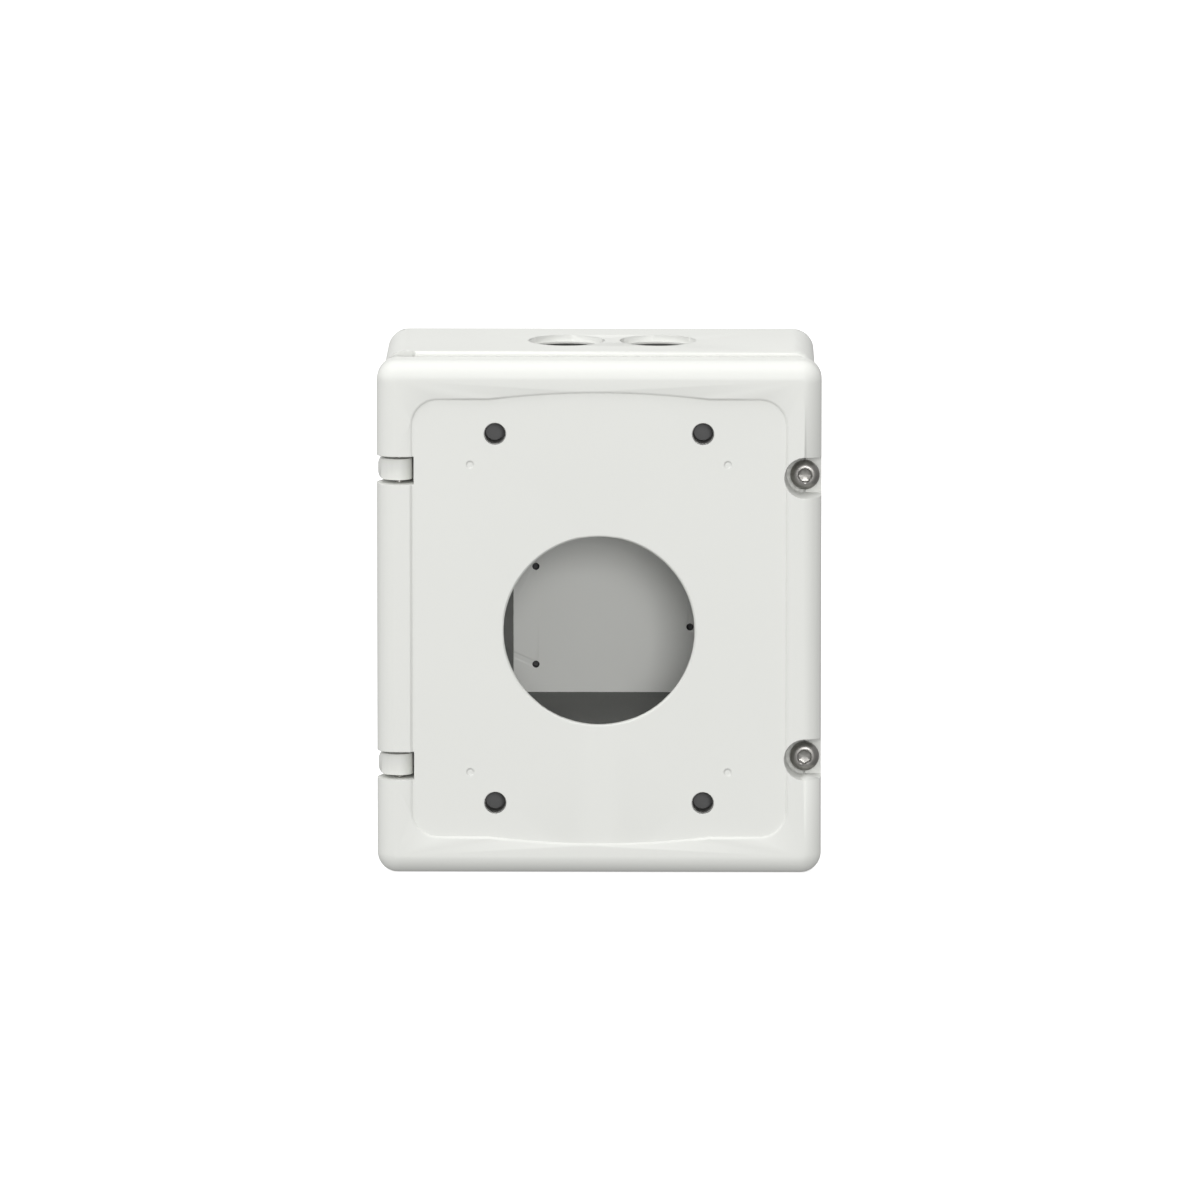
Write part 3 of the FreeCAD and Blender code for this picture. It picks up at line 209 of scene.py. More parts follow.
class NodeMaker:
    """Adds nodes to a node tree."""

    def __init__(self, tree):
        self.tree = tree

    def node(self, kind, settings=None, inputs=None, output=0):
        """Adds a node, sets it up, then fills or links its inputs; returns one of its outputs."""
        made = self.tree.nodes.new(kind)
        for setting, choice in (settings or {}).items():
            setattr(made, setting, choice)
        for socket, filling in (inputs or {}).items():
            self.fill(made.inputs[socket], filling)
        return Value(self, made.outputs[output])

    def fill(self, socket, filling):
        """Links a value to a socket, or sets the socket to a number, vector or colour."""
        if isinstance(filling, Value):
            self.tree.links.new(filling.socket, socket)
        else:
            socket.default_value = filling


BEVEL_RAYS = 6


class Finish(NodeMaker):
    """A material built from nodes round one Principled shader."""

    def __init__(self, name, **numbers):
        self.material = bpy.data.materials.new(name)
        self.material.use_nodes = True
        super().__init__(self.material.node_tree)
        self.tree.nodes.clear()
        self.shader = self.tree.nodes.new("ShaderNodeBsdfPrincipled")
        output = self.tree.nodes.new("ShaderNodeOutputMaterial")
        self.tree.links.new(self.shader.outputs["BSDF"], output.inputs["Surface"])
        for socket, number in numbers.items():
            self.shader.inputs[socket.replace("_", " ").title()].default_value = number

    def place(self):
        """Object coordinates, in metres."""
        return self.node("ShaderNodeTexCoord", output="Object")

    def axes(self):
        """X, Y and Z of the place, each as a value."""
        parts = self.node("ShaderNodeSeparateXYZ", inputs={0: self.place()})
        outputs = parts.socket.node.outputs
        return [Value(self, outputs[index]) for index in range(3)]

    def vector(self, operation, *operands, output="Vector"):
        return self.node("ShaderNodeVectorMath", {"operation": operation}, dict(enumerate(operands)), output)

    def noise(self, width, detail=2.0, roughness=0.5):
        """Noise about 0.5 whose features are about the given width."""
        return self.node("ShaderNodeTexNoise", inputs={
            "Vector": self.place(), "Scale": 1 / width, "Detail": detail, "Roughness": roughness})

    def blend(self, factor, low, high):
        """A colour between low and high, each a colour or a value."""
        ends = [end if isinstance(end, Value) else (*end, 1) for end in (low, high)]
        return self.node("ShaderNodeMix", {"data_type": "RGBA"}, {
            0: factor, 6: ends[0], 7: ends[1]}, output=2)

    def bumped(self, height, depth, normal=None):
        """The normal of a surface raised by height, which runs from 0 to 1, times depth in metres."""
        inputs = {"Height": height, "Distance": depth, "Strength": 1.0}
        if normal is not None:
            inputs["Normal"] = normal
        return self.node("ShaderNodeBump", inputs=inputs)

    def rounded(self, radius):
        """The normal of a surface whose sharp edges are rounded to a radius."""
        return self.node("ShaderNodeBevel", {"samples": BEVEL_RAYS}, {"Radius": radius})

    def wear(self, **sockets):
        """Links values to the shader's sockets, or sets them; returns the material."""
        for socket, value in sockets.items():
            self.fill(self.shader.inputs[socket.replace("_", " ").title()], value)
        return self.material


def reach(across, up):
    """Distance from a point whose offsets are two values: the root of the sum of their squares."""
    return (across * across + up * up).power(0.5)


def shade(colour, factor):
    """A colour made lighter or darker."""
    return tuple(min(1.0, channel * factor) for channel in colour)


# Finishes of the castings

def powder_coat(name, colour, grain, edge, hole_shade_mask, hole_shade_colour, relief=None):
    """White powder coat: fine ripples, a trace of cloudiness and softened cast edges.

    relief(coat) gives the normal of cast marks on top of the edges' normal. The mask argument is 1 inside a
    drilled hole, where the coat is painted the dark colour argument as painted shade."""
    coat = Finish(name)
    cloud = coat.noise(width=60 * MM, detail=3)
    ripple = coat.noise(width=grain, detail=2, roughness=0.6)
    speck = coat.noise(width=0.35 * MM, detail=1)
    height = ripple * 0.75 + speck * 0.25
    normal = coat.rounded(edge)
    if relief:
        normal = relief(coat, normal)
    clouded = coat.blend(cloud, shade(colour, 0.985), shade(colour, 1.01))
    # Painted shade: inside drilled holes the coat's colour gives way to a dark colour that stands in for the
    # holes' shade
    return coat.wear(
        base_color=coat.blend(hole_shade_mask(coat), clouded, hole_shade_colour),
        roughness=0.40 + cloud * 0.08 + speck * 0.06,
        normal=coat.bumped(height, 0.02 * MM, normal))


RING_MARK = (62.0 * MM, 75.0 * MM)
RING_MARK_FLOOR = 1.1 * MM
RING_MARK_RIM = 2.2 * MM
RING_MARK_DEPTH = 0.5 * MM


def ring_marks(coat, normal):
    """Four shallow round dips in the panel, one in each quarter: the height rises smoothly with the
    distance from the dip's middle, from its floor's radius to its rim's."""
    x, _, z = coat.axes()
    distance = reach(abs(x) - RING_MARK[0], abs(z) - RING_MARK[1])
    dip = coat.node("ShaderNodeMapRange", {"interpolation_type": "SMOOTHSTEP"}, {
        "Value": distance, "From Min": RING_MARK_FLOOR, "From Max": RING_MARK_RIM})
    return coat.bumped(dip, RING_MARK_DEPTH, normal)


# Dark grey painted into the cover's bracket holes as their shade
BRACKET_HOLE_SHADE = (0.12, 0.12, 0.12)
BRACKET_HOLE = (50.0 * MM, 90.0 * MM)
BRACKET_HOLE_REACH = 7.6 * MM
BRACKET_HOLE_START = -96.35 * MM
BRACKET_HOLE_END_GAP = 0.7 * MM


def bracket_bore_shade(coat):
    """Painted shade: 1 inside the four bracket holes, from behind the panel's face to just past the inserts'
    rear ends, where the coat is painted dark grey in place of the holes' shade: where the distance from the
    nearest hole's middle is small."""
    x, y, z = coat.axes()
    blind_end = corners("bracket_insert_upper_left")[1][1] + BRACKET_HOLE_END_GAP
    inside = reach(abs(x) - BRACKET_HOLE[0], abs(z) - BRACKET_HOLE[1]) < BRACKET_HOLE_REACH
    return inside * (y > BRACKET_HOLE_START) * (y < float(blind_end))


# Near black painted into the back wall's tapped holes as their shade
TAPPED_HOLE_SHADE = (0.03, 0.03, 0.03)
TAPPED_MIDDLE = (5.9 * MM, -4.7 * MM)
TAPPED_HALF = (37.5 * MM, 24.15 * MM)
TAPPED_STAGGER = 9.25 * MM
TAPPED_REACH = 1.75 * MM
TAPPED_START = -4.3 * MM


def tapped_bore_shade(coat):
    """Painted shade: 1 in the four tapped holes of the back wall and straight behind them, where the coat is
    painted near black in place of the holes' shade: where the distance from the nearest hole's middle is
    small. The right pair sits higher than the left one, by twice the stagger."""
    x, y, z = coat.axes()
    across = x - TAPPED_MIDDLE[0]
    up = z - (across.sign() * TAPPED_STAGGER + TAPPED_MIDDLE[1])
    inside = reach(abs(across) - TAPPED_HALF[0], abs(up) - TAPPED_HALF[1]) < TAPPED_REACH
    return inside * (y > TAPPED_START)


# Finishes of the other pieces

RING_WIDTH = 0.25 * MM


def turned_steel(name, colour, axis, centre):
    """Steel with fine rings about an axis, as a lathe leaves, and slight smears. The rings are noise read
    at the distance from the axis and the height along it."""
    steel = Finish(name, metallic=1.0)
    offset = steel.vector("SUBTRACT", steel.place(), tuple(centre))
    across = steel.vector("MULTIPLY", offset, tuple(1 - np.abs(axis)))
    radius = steel.vector("LENGTH", across, output="Value")
    along = steel.vector("DOT_PRODUCT", offset, tuple(axis), output="Value")
    line = steel.node("ShaderNodeCombineXYZ", inputs={0: radius, 1: along})
    rings = steel.node("ShaderNodeTexNoise", inputs={"Vector": line, "Scale": 1 / RING_WIDTH, "Detail": 2.0})
    smear = steel.noise(width=2.5 * MM, detail=3)
    return steel.wear(
        base_color=steel.blend(smear, shade(colour, 0.8), shade(colour, 1.2)),
        roughness=0.24 + rings * 0.16 + smear * 0.08,
        normal=steel.bumped(rings, depth=0.006 * MM))


def plated(name, colour):
    """Dull plating with a fine crystal grain."""
    plating = Finish(name, metallic=1.0)
    grain = plating.noise(width=0.3 * MM, detail=3)
    stain = plating.noise(width=4 * MM, detail=3)
    return plating.wear(
        base_color=plating.blend(stain, shade(colour, 0.75), shade(colour, 1.2)),
        roughness=0.38 + grain * 0.2,
        normal=plating.bumped(grain, depth=0.008 * MM))


def moulded(name, colour, roughness, grain):
    """Moulded plastic with an even spark texture."""
    plastic = Finish(name)
    texture = plastic.noise(width=grain, detail=2, roughness=0.7)
    cloud = plastic.noise(width=25 * MM, detail=2)
    return plastic.wear(
        base_color=plastic.blend(cloud, shade(colour, 0.9), shade(colour, 1.1)),
        roughness=roughness + texture * 0.12,
        normal=plastic.bumped(texture, depth=0.02 * MM))


CELL_WIDTH = 0.5 * MM


def seal_rubber(name, colour):
    """Foamed rubber with fine open cells and a dusty bloom."""
    rubber = Finish(name)
    cells = rubber.node("ShaderNodeTexVoronoi", inputs={"Vector": rubber.place(), "Scale": 1 / CELL_WIDTH})
    bloom = rubber.noise(width=9 * MM, detail=3)
    return rubber.wear(
        base_color=rubber.blend(bloom, shade(colour, 0.8), shade(colour, 2.0)),
        roughness=0.72 + bloom * 0.15,
        normal=rubber.bumped(cells, depth=0.03 * MM))


# Surfaces

MERGE = 0.002 * MM


def grid_faces(rows, columns, looped=False):
    """Quads of a grid of points; the last column joins the first, and looped joins the last row to the
    first one too."""
    index = np.arange(rows * columns).reshape(rows, columns)
    if looped:
        index = np.vstack([index, index[:1]])
    index = np.hstack([index, index[:, :1]])
    sides = [index[:-1, :-1], index[:-1, 1:], index[1:, 1:], index[1:, :-1]]
    return np.stack(sides, axis=-1).reshape(-1, 4)


def merged(mesh, outwards):
    """Merges a mesh's doubles and, where asked, turns its faces outwards."""
    tidy = bmesh.new()
    tidy.from_mesh(mesh)
    bmesh.ops.remove_doubles(tidy, verts=tidy.verts, dist=MERGE)
    if outwards:
        bmesh.ops.recalc_face_normals(tidy, faces=tidy.faces)
    tidy.to_mesh(mesh)
    tidy.free()
    return mesh


def make_piece(node, ending, grid, body, material, looped=False, sharp=35.0):
    """An object from a grid of points [i, j, xyz], closed along j and, if looped, along i."""
    name = f"{node}_{ending}"
    mesh = bpy.data.meshes.new(name)
    mesh.from_pydata(grid.reshape(-1, 3).tolist(), [], grid_faces(*grid.shape[:2], looped).tolist())
    finish_piece(node, name, merged(mesh, True), body, material, sharp)


def finish_piece(node, name, mesh, body, material, sharp):
    """Shades a mesh smooth but for sharp edges, gives it its material and puts it on its body in the
    place of a node, which gets the material too."""
    mesh.shade_smooth()
    mesh.set_sharp_from_angle(angle=math.radians(sharp))
    mesh.materials.clear()
    mesh.materials.append(material)
    piece = bpy.data.objects.new(name, mesh)
    bpy.context.scene.collection.objects.link(piece)
    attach(piece, body)
    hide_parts(node)
    give_material(node, material)
    return piece


def give_material(node, material):
    """Puts a material into every slot of a CAD node."""
    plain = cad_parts[node]
    if not plain.material_slots:
        plain.data.materials.append(material)
    for place in plain.material_slots:
        place.material = material


def eased(profile, radius, steps=4):
    """A profile whose corners are rounded: each corner is a quadratic curve between two points,
    one on each side at the given distance, drawn towards the corner."""
    profile = np.asarray(profile, dtype=float)
    before = profile[:-2] - profile[1:-1]
    after = profile[2:] - profile[1:-1]
    reach_before = np.minimum(radius, np.linalg.norm(before, axis=1) / 2)[:, None]
    reach_after = np.minimum(radius, np.linalg.norm(after, axis=1) / 2)[:, None]
    start = profile[1:-1] + before / np.linalg.norm(before, axis=1)[:, None] * reach_before
    end = profile[1:-1] + after / np.linalg.norm(after, axis=1)[:, None] * reach_after
    t = np.linspace(0, 1, steps + 1)[None, :, None]
    curve = (1 - t) ** 2 * start[:, None] + 2 * t * (1 - t) * profile[1:-1, None] + t ** 2 * end[:, None]
    return np.vstack([profile[:1], curve.reshape(-1, profile.shape[1]), profile[-1:]])


def turned_grid(radius, height, centre, axis, steps=96):
    """Points of a turned surface: centre + height * axis + radius * (cos, sin) across the axis.

    radius and height hold one value a row, or one a row and column."""
    axis = np.asarray(axis, dtype=float)
    side = np.array([1.0, 0.0, 0.0])
    other = np.cross(axis, side)
    angle = np.arange(steps) * TAU / steps
    radius = np.broadcast_to(np.reshape(radius, (len(radius), -1)), (len(radius), steps))
    height = np.broadcast_to(np.reshape(height, (len(height), -1)), (len(height), steps))
    spokes = np.cos(angle)[:, None] * side + np.sin(angle)[:, None] * other
    return np.asarray(centre) + radius[..., None] * spokes + height[..., None] * axis


def ring_profile(outer, inner, low, high, edge):
    """A closed rectangular section with eased corners, as radius and height."""
    seam = (inner, (low + high) / 2)
    return eased([seam, (inner, low), (outer, low), (outer, high), (inner, high), seam], edge)[:-1]


def ramp_wave(turns):
    """A triangle wave that is 0 at whole turns and 1 half way."""
    return 1 - np.abs(2 * (turns - np.floor(turns)) - 1)


THREAD_ROWS = 10


def thread_grid(major, depth, low, high, pitch, centre, axis, inward, steps=72):
    """A threaded wall: the radius is the major radius less a triangle wave of the height, which moves on
    by one pitch a turn and, over half a pitch at both ends, fades to the major radius where the thread
    is cut inward and to the root where it isn't."""
    rows = max(8, int((high - low) / pitch * THREAD_ROWS))
    height = np.linspace(low, high, rows)[:, None]
    turn = np.arange(steps)[None, :] / steps
    wave = ramp_wave(height / pitch - turn)
    fade = np.clip(np.minimum(height - low, high - height) / (pitch / 2), 0, 1)
    radius = major - depth * (wave * fade if inward else 1 - (1 - wave) * fade)
    return turned_grid(radius, height + 0 * turn, centre, axis, steps)


# Pieces that keep their solids' shape

CAST_SHARP = 24.0
FLATS_LEAD = 100


def dressed_copy(node, ending, body, material):
    """A merged copy of a node, shaded smooth across its rounds with its flats kept flat."""
    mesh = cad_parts[node].data.copy()
    mesh.name = f"{node}_{ending}"
    piece = finish_piece(node, mesh.name, merged(mesh, False), body, material, CAST_SHARP)
    flats = piece.modifiers.new("flat_faces_lead", "WEIGHTED_NORMAL")
    flats.keep_sharp = True
    flats.weight = FLATS_LEAD


def settings(context):
    scene = context.scene
    return scene.box_finish, scene.box_hardware, scene.box_stage


class JUNCTIONBOX_OT_castings(bpy.types.Operator):
    """Dress the die-cast housing and front cover in white powder coat"""
    bl_idname = "junctionbox.castings"
    bl_label = "Housing and front cover"

    def execute(self, context):
        finish, _, _ = settings(context)
        look = (finish.coat_colour, finish.coat_grain, finish.edge_radius)
        # The box's tapped holes and the cover's bracket holes get painted shade in their coat
        box_coat = powder_coat("box_powder_coat", *look, tapped_bore_shade, TAPPED_HOLE_SHADE)
        cover_coat = powder_coat("cover_powder_coat", *look, bracket_bore_shade, BRACKET_HOLE_SHADE, ring_marks)
        dressed_copy("housing", "casting", "box", box_coat)
        dressed_copy("front_cover", "casting", "cover", cover_coat)
        return {"FINISHED"}


class JUNCTIONBOX_OT_divider(bpy.types.Operator):
    """Dress the moulded channel round the cable space"""
    bl_idname = "junctionbox.divider"
    bl_label = "Inner divider"

    def execute(self, context):
        finish, _, _ = settings(context)
        plastic = moulded("dark_moulded_plastic", finish.divider_colour, roughness=0.42, grain=0.5 * MM)
        dressed_copy("inner_divider", "moulding", "box", plastic)
        return {"FINISHED"}


# Pieces that are built again

GASKET_WIDTH = 3.8 * MM
GASKET_CORNER = 8.9 * MM
GASKET_BEAD = 1.2 * MM


class JUNCTIONBOX_OT_gasket(bpy.types.Operator):
    """Build the rubber seal in the cover's groove"""
    bl_idname = "junctionbox.gasket"
    bl_label = "Cover gasket"

    def execute(self, context):
        finish, _, _ = settings(context)
        rubber = seal_rubber("seal_rubber_black", finish.rubber_colour)
        make_piece("cover_gasket", "seal", gasket_grid(), "cover", rubber, looped=True)
        return {"FINISHED"}


def gasket_grid():
    """A section with two beads on its rear side, carried round a rounded rectangle: each point is the
    path's point plus the section's width along the path's outward normal, at the section's depth."""
    low, high = corners("cover_gasket")
    side = GASKET_WIDTH / 2
    deep, proud = low[1], high[1]
    seam = (-side, (deep + proud) / 2)
    section = eased([
        seam, (-side, deep), (side, deep), (side, proud - GASKET_BEAD),
        (side / 2, proud), (0, proud - GASKET_BEAD / 2), (-side / 2, proud), (-side, proud - GASKET_BEAD),
        seam], 0.6 * MM)[:-1]
    half = (high - low)[[0, 2]] / 2 - side
    path, outward = rounded_loop(half, GASKET_CORNER - side, 12)
    place = path[None] + section[:, 0][:, None, None] * outward[None]
    depth = np.broadcast_to(section[:, 1][:, None], place.shape[:2])
    return np.stack([place[..., 0], depth, place[..., 1]], axis=-1)


def rounded_loop(half, radius, steps):
    """The points and the outward normals of a rounded rectangle: four quarter circles, each about its
    corner's centre."""
    angle = np.linspace(0, math.pi / 2, steps + 1)
    turns = angle[None, :] + np.arange(4)[:, None] * math.pi / 2
    outward = np.stack([np.cos(turns), np.sin(turns)], axis=-1)
    signs = np.array([(1, 1), (-1, 1), (-1, -1), (1, -1)])
    centres = signs * (np.asarray(half) - radius)
    return (centres[:, None] + radius * outward).reshape(-1, 2), outward.reshape(-1, 2)


SOCKET_TURNS = (math.radians(30), 0.0)


class JUNCTIONBOX_OT_cover_screws(bpy.types.Operator):
    """Build the button-head screws with hexagon sockets and threaded shanks"""
    bl_idname = "junctionbox.cover_screws"
    bl_label = "Cover screws"

    def execute(self, context):
        finish, hardware, _ = settings(context)
        for level, turn in zip(LEVELS, SOCKET_TURNS):
            node = f"cover_screw_{level}"
            low, high = corners(node)
            seat = corners(f"cover_screw_washer_{level}")[0][1]
            centre = np.array([(low[0] + high[0]) / 2, seat, (low[2] + high[2]) / 2])
            dark = shade(finish.steel_colour, 0.7)
            steel = turned_steel(f"brushed_screw_steel_{level}", dark, FRONT, centre)
            grid = button_screw(
                centre, (high[0] - low[0]) / 2, seat - low[1], high[1] - seat, hardware, turn)
            make_piece(node, "button_head", grid, node, steel, sharp=30.0)
        return {"FINISHED"}


def hexagon(steps, turn):
    """Distance from the middle to a hexagon's side, over its distance at the middle of a side."""
    angle = np.arange(steps) * TAU / steps - turn
    sixth = TAU / 6
    return 1 / np.cos((angle + sixth / 2) % sixth - sixth / 2)


SOCKET_LIP = 1.28
SOCKET_POINT = 0.35
SOCKET_CHAMFER = 0.5 * MM
LIP_FLAT = 0.25 * MM
HEAD_SIDE = 0.22
SCREW_STEM = 3.6 * MM
THREAD_START = -2.2 * MM
THREAD_DEPTH = 0.55 * MM
TIP_LENGTH = 0.6 * MM
TIP_DRAW = 0.8 * MM


def button_screw(centre, radius, head, shank, hardware, turn, steps=96):
    """A button head: a pointed socket floor, six walls, a round chamfer, a crown that falls as an
    ellipse, the seat, and a shank whose radius follows a helix down to its tip."""
    flat = hardware.socket_flats / 2
    lip = SOCKET_LIP * flat
    crown = lip + LIP_FLAT
    floor = head - hardware.socket_depth
    # radius, height and how much of the hexagon a row keeps
    socket = [
        (0.0, floor - SOCKET_POINT * flat, 1), (0.95 * flat, floor, 1), (flat, floor, 1),
        (flat, head - SOCKET_CHAMFER, 1), ((flat + lip) / 2, head - 0.22 * MM, 0.45),
        (lip, head, 0), (crown, head, 0),
    ]
    radii, heights, hexness = np.array(socket).T
    quarter = np.linspace(0, math.pi / 2, 14)[1:]
    side = HEAD_SIDE * head
    crown_radius = crown + (radius - crown) * np.sin(quarter)
    crown_height = side + (head - side) * np.cos(quarter)
    below = eased([(radius, side), (radius, 0.0), (SCREW_STEM, 0.0), (SCREW_STEM, THREAD_START)],
                  0.25 * MM)[1:]
    rows = np.concatenate([radii, crown_radius, below[:, 0]])[:, None] * np.ones(steps)
    rows[:len(radii)] *= 1 + hexness[:, None] * (hexagon(steps, turn) - 1)
    height = np.concatenate([heights, crown_height, below[:, 1]])
    top = turned_grid(rows, height, centre, FRONT, steps)
    wall = thread_grid(SCREW_STEM, THREAD_DEPTH, -shank + TIP_LENGTH, THREAD_START, hardware.screw_pitch,
                       centre, FRONT, False, steps)[::-1]
    tip = turned_grid([SCREW_STEM - TIP_DRAW, 0.0], [-shank, -shank], centre, FRONT, steps)
    return np.concatenate([top, wall, tip])


WASHER_HOLE = 3.9 * MM
RETAINING_HOLE = 3.65 * MM
EARTH_WASHER_HOLE = 2.7 * MM


class JUNCTIONBOX_OT_rings(bpy.types.Operator):
    """Build the washers and retaining rings round the cover screws and the earth washer"""
    bl_idname = "junctionbox.rings"
    bl_label = "Washers and rings"

    def execute(self, context):
        finish, _, _ = settings(context)
        nylon = moulded("natural_nylon", finish.nylon_colour, roughness=0.35, grain=0.6 * MM)
        for level in LEVELS:
            washer = f"cover_screw_washer_{level}"
            steel = turned_steel(f"washer_steel_{level}", finish.steel_colour, FRONT, middle(washer))
            build_ring(washer, "cover", WASHER_HOLE, steel)
            build_ring(f"screw_retaining_ring_{level}", "cover", RETAINING_HOLE, nylon)
        steel = turned_steel("earth_washer_steel", finish.steel_colour, FRONT, middle("earth_washer"))
        build_ring("earth_washer", "box", EARTH_WASHER_HOLE, steel)
        return {"FINISHED"}


def build_ring(node, body, hole, material):
    """A flat ring with eased edges in the place of a node."""
    low, high = corners(node)
    half = (high[1] - low[1]) / 2
    section = ring_profile((high[0] - low[0]) / 2, hole, -half, half, edge=0.25 * MM)
    grid = turned_grid(section[:, 0], section[:, 1], middle(node), FRONT)
    make_piece(node, "ring", grid, body, material, looped=True)


PIN_RADIUS = 1.75 * MM
PIN_HEAD = 1.6 * MM


class JUNCTIONBOX_OT_hinge_pins(bpy.types.Operator):
    """Build the headed hinge pins"""
    bl_idname = "junctionbox.hinge_pins"
    bl_label = "Hinge pins"

    def execute(self, context):
        finish, _, _ = settings(context)
        for level, way in zip(LEVELS, (1, -1)):
            node = f"hinge_pin_{level}"
            low, high = corners(node)
            steel = turned_steel(f"pin_steel_{level}", finish.steel_colour, UP, middle(node))
            profile = pin_profile((high[0] - low[0]) / 2, (high[2] - low[2]) / 2)
            grid = turned_grid(profile[:, 0], way * profile[:, 1], middle(node), UP, 64)
            make_piece(node, "turned", grid, "cover", steel)
        return {"FINISHED"}


def pin_profile(head, half):
    """A domed head, a shank and a drawn-in tip, as radius and height from one end to the other."""
    under_head = PIN_HEAD - half
    return np.vstack([
        [(0.0, -half)],
        eased([(0.45 * head, -half), (head, 0.35 * PIN_HEAD - half), (head, under_head),
               (PIN_RADIUS, under_head), (PIN_RADIUS, half - 0.5 * MM),
               (PIN_RADIUS - 0.4 * MM, half)], 0.2 * MM),
        [(0.0, half)]])


BRACKET_BORE = 5.0 * MM
SCREW_BORE = 4.0 * MM
INSERT_EASE = 0.6 * MM
INSERT_CORNER = 1.12


class JUNCTIONBOX_OT_inserts(bpy.types.Operator):
    """Build the hexagonal thread inserts for the bracket and the cover screws"""
    bl_idname = "junctionbox.inserts"
    bl_label = "Thread inserts"

    def execute(self, context):
        finish, hardware, _ = settings(context)
        plating = plated("insert_plating", finish.plating_colour)
        for level in LEVELS:
            for side in SIDES:
                build_insert(f"bracket_insert_{level}_{side}", "cover", BRACKET_BORE,
                             hardware.bracket_pitch, plating)
            build_insert(f"housing_insert_{level}", "box", SCREW_BORE, hardware.screw_pitch, plating)
        return {"FINISHED"}


def build_insert(node, body, bore, pitch, material, steps=96):
    """A hexagonal sleeve with a threaded bore. Outside, the radius is the smaller of the hexagon's and
    a circle's, which takes off the corners, and the circle shrinks towards both ends."""
    low, high = corners(node)
    centre = middle(node)
    half = (high[1] - low[1]) / 2
    flats = (high[0] - low[0]) / 2
    height = np.array([-half, -half + INSERT_EASE, half - INSERT_EASE, half])
    round_off = flats * np.array([1.0, INSERT_CORNER, INSERT_CORNER, 1.0])
    radius = np.minimum(flats * hexagon(steps, 0.0)[None, :], round_off[:, None])
    outside = turned_grid(radius, height, centre, FRONT, steps)
    inside = thread_grid(bore, 0.1 * bore, -half, half, pitch, centre, FRONT, True, steps)[::-1]
    grid = np.concatenate([outside, inside])
    make_piece(node, "hexagonal", grid, body, material, looped=True)


# Height of the head and radius of the shank
DIVIDER_SCREW = (2.4 * MM, 1.9 * MM)
EARTH_SCREW = (3.7 * MM, 2.5 * MM)


class JUNCTIONBOX_OT_small_screws(bpy.types.Operator):
    """Build the cross-head screws of the divider and the earth screw"""
    bl_idname = "junctionbox.small_screws"
    bl_label = "Cross-head screws"

    def execute(self, context):
        finish, _, _ = settings(context)
        steel = plated("bright_screw_plating", shade(finish.steel_colour, 1.2))
        for level in LEVELS:
            for side in SIDES:
                build_cross_screw(f"divider_screw_{level}_{side}", *DIVIDER_SCREW, steel)
        build_cross_screw("earth_screw", *EARTH_SCREW, steel)
        return {"FINISHED"}


def build_cross_screw(node, head, stem, material, steps=96):
    """A pan head over a plain shank. The head's height falls with the fourth power of the radius, less a
    cross whose arms narrow outwards: it is deep where the distance from either of its lines is small."""
    low, high = corners(node)
    radius = (high[0] - low[0]) / 2
    centre = np.array([(low[0] + high[0]) / 2, low[1] + head, (low[2] + high[2]) / 2])
    length = high[1] - low[1] - head
    ring = np.linspace(0, 1, 44)[:, None] * radius
    angle = np.arange(steps)[None, :] * TAU / steps
    crown = head * (1 - 0.45 * (ring / radius) ** 4)
    arm = 0.11 * radius + 0.10 * (radius - ring)
    nearest = np.minimum(np.abs(np.cos(angle)), np.abs(np.sin(angle))) * ring
    ease = 0.12 * radius
    arm_end = 0.55 * radius
    cut = np.clip((arm - nearest) / ease + 0.5, 0, 1) * np.clip((arm_end - ring) / ease + 0.5, 0, 1)
    top = turned_grid(ring + 0 * angle, crown - 0.5 * head * cut, centre, FRONT, steps)
    below = eased([(radius, 0.55 * head), (radius, 0.0), (stem, 0.0), (stem, -length + 0.4 * MM),
                   (stem - 0.4 * MM, -length), (0.0, -length)], 0.12 * MM)[1:]
    rest = turned_grid(below[:, 0], below[:, 1], centre, FRONT, steps)
    make_piece(node, "cross_head", np.concatenate([top, rest]), "box", material,
               sharp=30.0)


# Stage

FLOOR_RADIUS = 14.0
ROOM_TILT = (-0.15, 0.0, 0.45)
SENSOR = 36.0
# Where each soft light is and how wide it is, in metres
LIGHTS = {
    "key_light": ((-3.0, -2.6, 2.4), 2.2),
    "top_light": ((-0.3, -0.6, 3.4), 3.0),
    "front_light": ((0.8, -9.0, 1.9), 2.6),
}


class JUNCTIONBOX_OT_stage(bpy.types.Operator):
    """Set the pale floor, the studio light and the camera"""
    bl_idname = "junctionbox.stage"
    bl_label = "Studio"

    def execute(self, context):
        stage = context.scene.box_stage
        build_floor()
        build_room(stage.room_light)
        for name, (place, size) in LIGHTS.items():
            soft_light(name, place, size, getattr(stage, name))
        build_camera(stage)
        context.scene.view_settings.view_transform = "Standard"
        return {"FINISHED"}


def build_floor():
    """A round pale floor level with the foot of the box: rings of points about the middle."""
    ground = CAD_BOUNDS[0][2]
    grid = turned_grid([0.0, 1.0, FLOOR_RADIUS], [0.0, 0.0, 0.0], (0, 0, ground), UP, 64)
    mesh = bpy.data.meshes.new("pale_floor")
    mesh.from_pydata(grid.reshape(-1, 3).tolist(), [], grid_faces(*grid.shape[:2]).tolist())
    paper = Finish("pale_floor_paper", roughness=0.9, emission_strength=0.6)
    grain = paper.noise(width=0.4, detail=2)
    mesh.materials.append(paper.wear(
        base_color=paper.blend(grain, (0.93, 0.93, 0.93), (0.95, 0.95, 0.95)), emission_color=(1, 1, 1, 1)))
    floor = bpy.data.objects.new("pale_floor", mesh)
    floor.visible_diffuse = False
    floor.visible_glossy = False
    bpy.context.scene.collection.objects.link(floor)


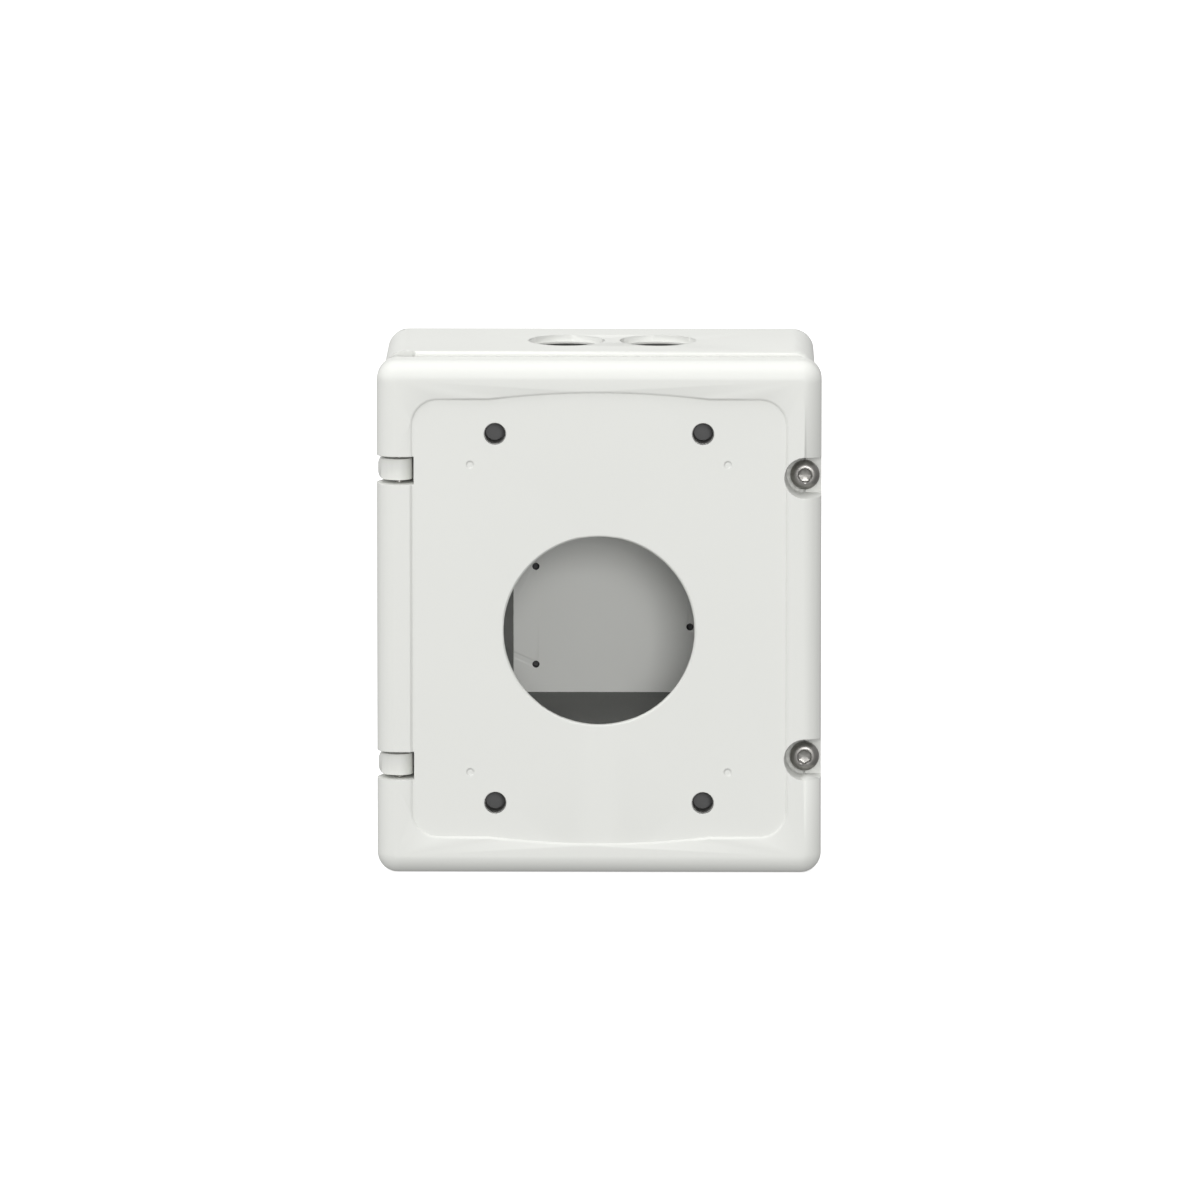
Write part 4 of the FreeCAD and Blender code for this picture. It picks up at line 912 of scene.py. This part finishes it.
def build_room(strength):
    """A white room that is brighter overhead and to the left than below and to the right: its strength
    follows the dot product of the direction and the tilt."""
    world = bpy.data.worlds.new("white_room")
    world.use_nodes = True
    room = NodeMaker(world.node_tree)
    background = world.node_tree.nodes["Background"]
    direction = room.node("ShaderNodeTexCoord", output="Generated")
    tilt = room.node("ShaderNodeVectorMath", {"operation": "DOT_PRODUCT"},
                     {0: direction, 1: ROOM_TILT}, output="Value")
    room.fill(background.inputs["Color"], (1, 1, 1, 1))
    room.fill(background.inputs["Strength"], strength * (1 + tilt))
    bpy.context.scene.world = world


def soft_light(name, place, size, power):
    """A square soft box that looks at the middle of the wall face."""
    lamp = bpy.data.lights.new(name, "AREA")
    lamp.size = size
    lamp.energy = power
    light = bpy.data.objects.new(name, lamp)
    light.location = place
    light.rotation_euler = (-Vector(place)).to_track_quat("-Z", "Y").to_euler()
    bpy.context.scene.collection.objects.link(light)


def build_camera(stage):
    """A long lens that takes in the view's width at the front of the cover."""
    front = corners("front_cover")[0][1]
    aim = Vector((stage.aim_right, front, stage.aim_up))
    back = Vector((math.sin(stage.azimuth) * math.cos(stage.elevation),
                   -math.cos(stage.azimuth) * math.cos(stage.elevation),
                   math.sin(stage.elevation)))
    lens = bpy.data.cameras.new("product_camera")
    lens.sensor_width = SENSOR
    lens.lens = SENSOR * stage.distance / stage.view_width
    lens.clip_end = 100.0
    camera = bpy.data.objects.new("product_camera", lens)
    camera.location = aim + back * stage.distance
    camera.rotation_euler = (-back).to_track_quat("-Z", "Y").to_euler()
    bpy.context.scene.collection.objects.link(camera)
    bpy.context.scene.camera = camera


class JUNCTIONBOX_PT_sidebar(bpy.types.Panel):
    """Lists the settings and the operators in the 3D view's sidebar"""
    bl_label = "Junction box"
    bl_idname = "JUNCTIONBOX_PT_sidebar"
    bl_space_type = "VIEW_3D"
    bl_region_type = "UI"
    bl_category = "Junction box"

    def draw(self, context):
        for group in settings(context):
            box = self.layout.box()
            for name in group.bl_rna.properties.keys():
                if name not in {"rna_type", "name"}:
                    box.prop(group, name)
        for operator in OPERATORS:
            self.layout.operator(operator.bl_idname)


GROUPS = {
    "box_finish": BoxFinishSettings,
    "box_hardware": BoxHardwareSettings,
    "box_stage": BoxStageSettings,
}
OPERATORS = (
    JUNCTIONBOX_OT_castings,
    JUNCTIONBOX_OT_divider,
    JUNCTIONBOX_OT_gasket,
    JUNCTIONBOX_OT_cover_screws,
    JUNCTIONBOX_OT_rings,
    JUNCTIONBOX_OT_hinge_pins,
    JUNCTIONBOX_OT_inserts,
    JUNCTIONBOX_OT_small_screws,
    JUNCTIONBOX_OT_stage,
)


def register():
    for name, group in GROUPS.items():
        bpy.utils.register_class(group)
        setattr(bpy.types.Scene, name, bpy.props.PointerProperty(type=group))
    for cls in (*OPERATORS, JUNCTIONBOX_PT_sidebar):
        bpy.utils.register_class(cls)


def unregister():
    for cls in (JUNCTIONBOX_PT_sidebar, *reversed(OPERATORS)):
        bpy.utils.unregister_class(cls)
    for name, group in GROUPS.items():
        delattr(bpy.types.Scene, name)
        bpy.utils.unregister_class(group)


def main():
    register()
    for operator in OPERATORS:
        group, name = operator.bl_idname.split(".")
        getattr(getattr(bpy.ops, group), name)()


if __name__ == "__main__":
    main()
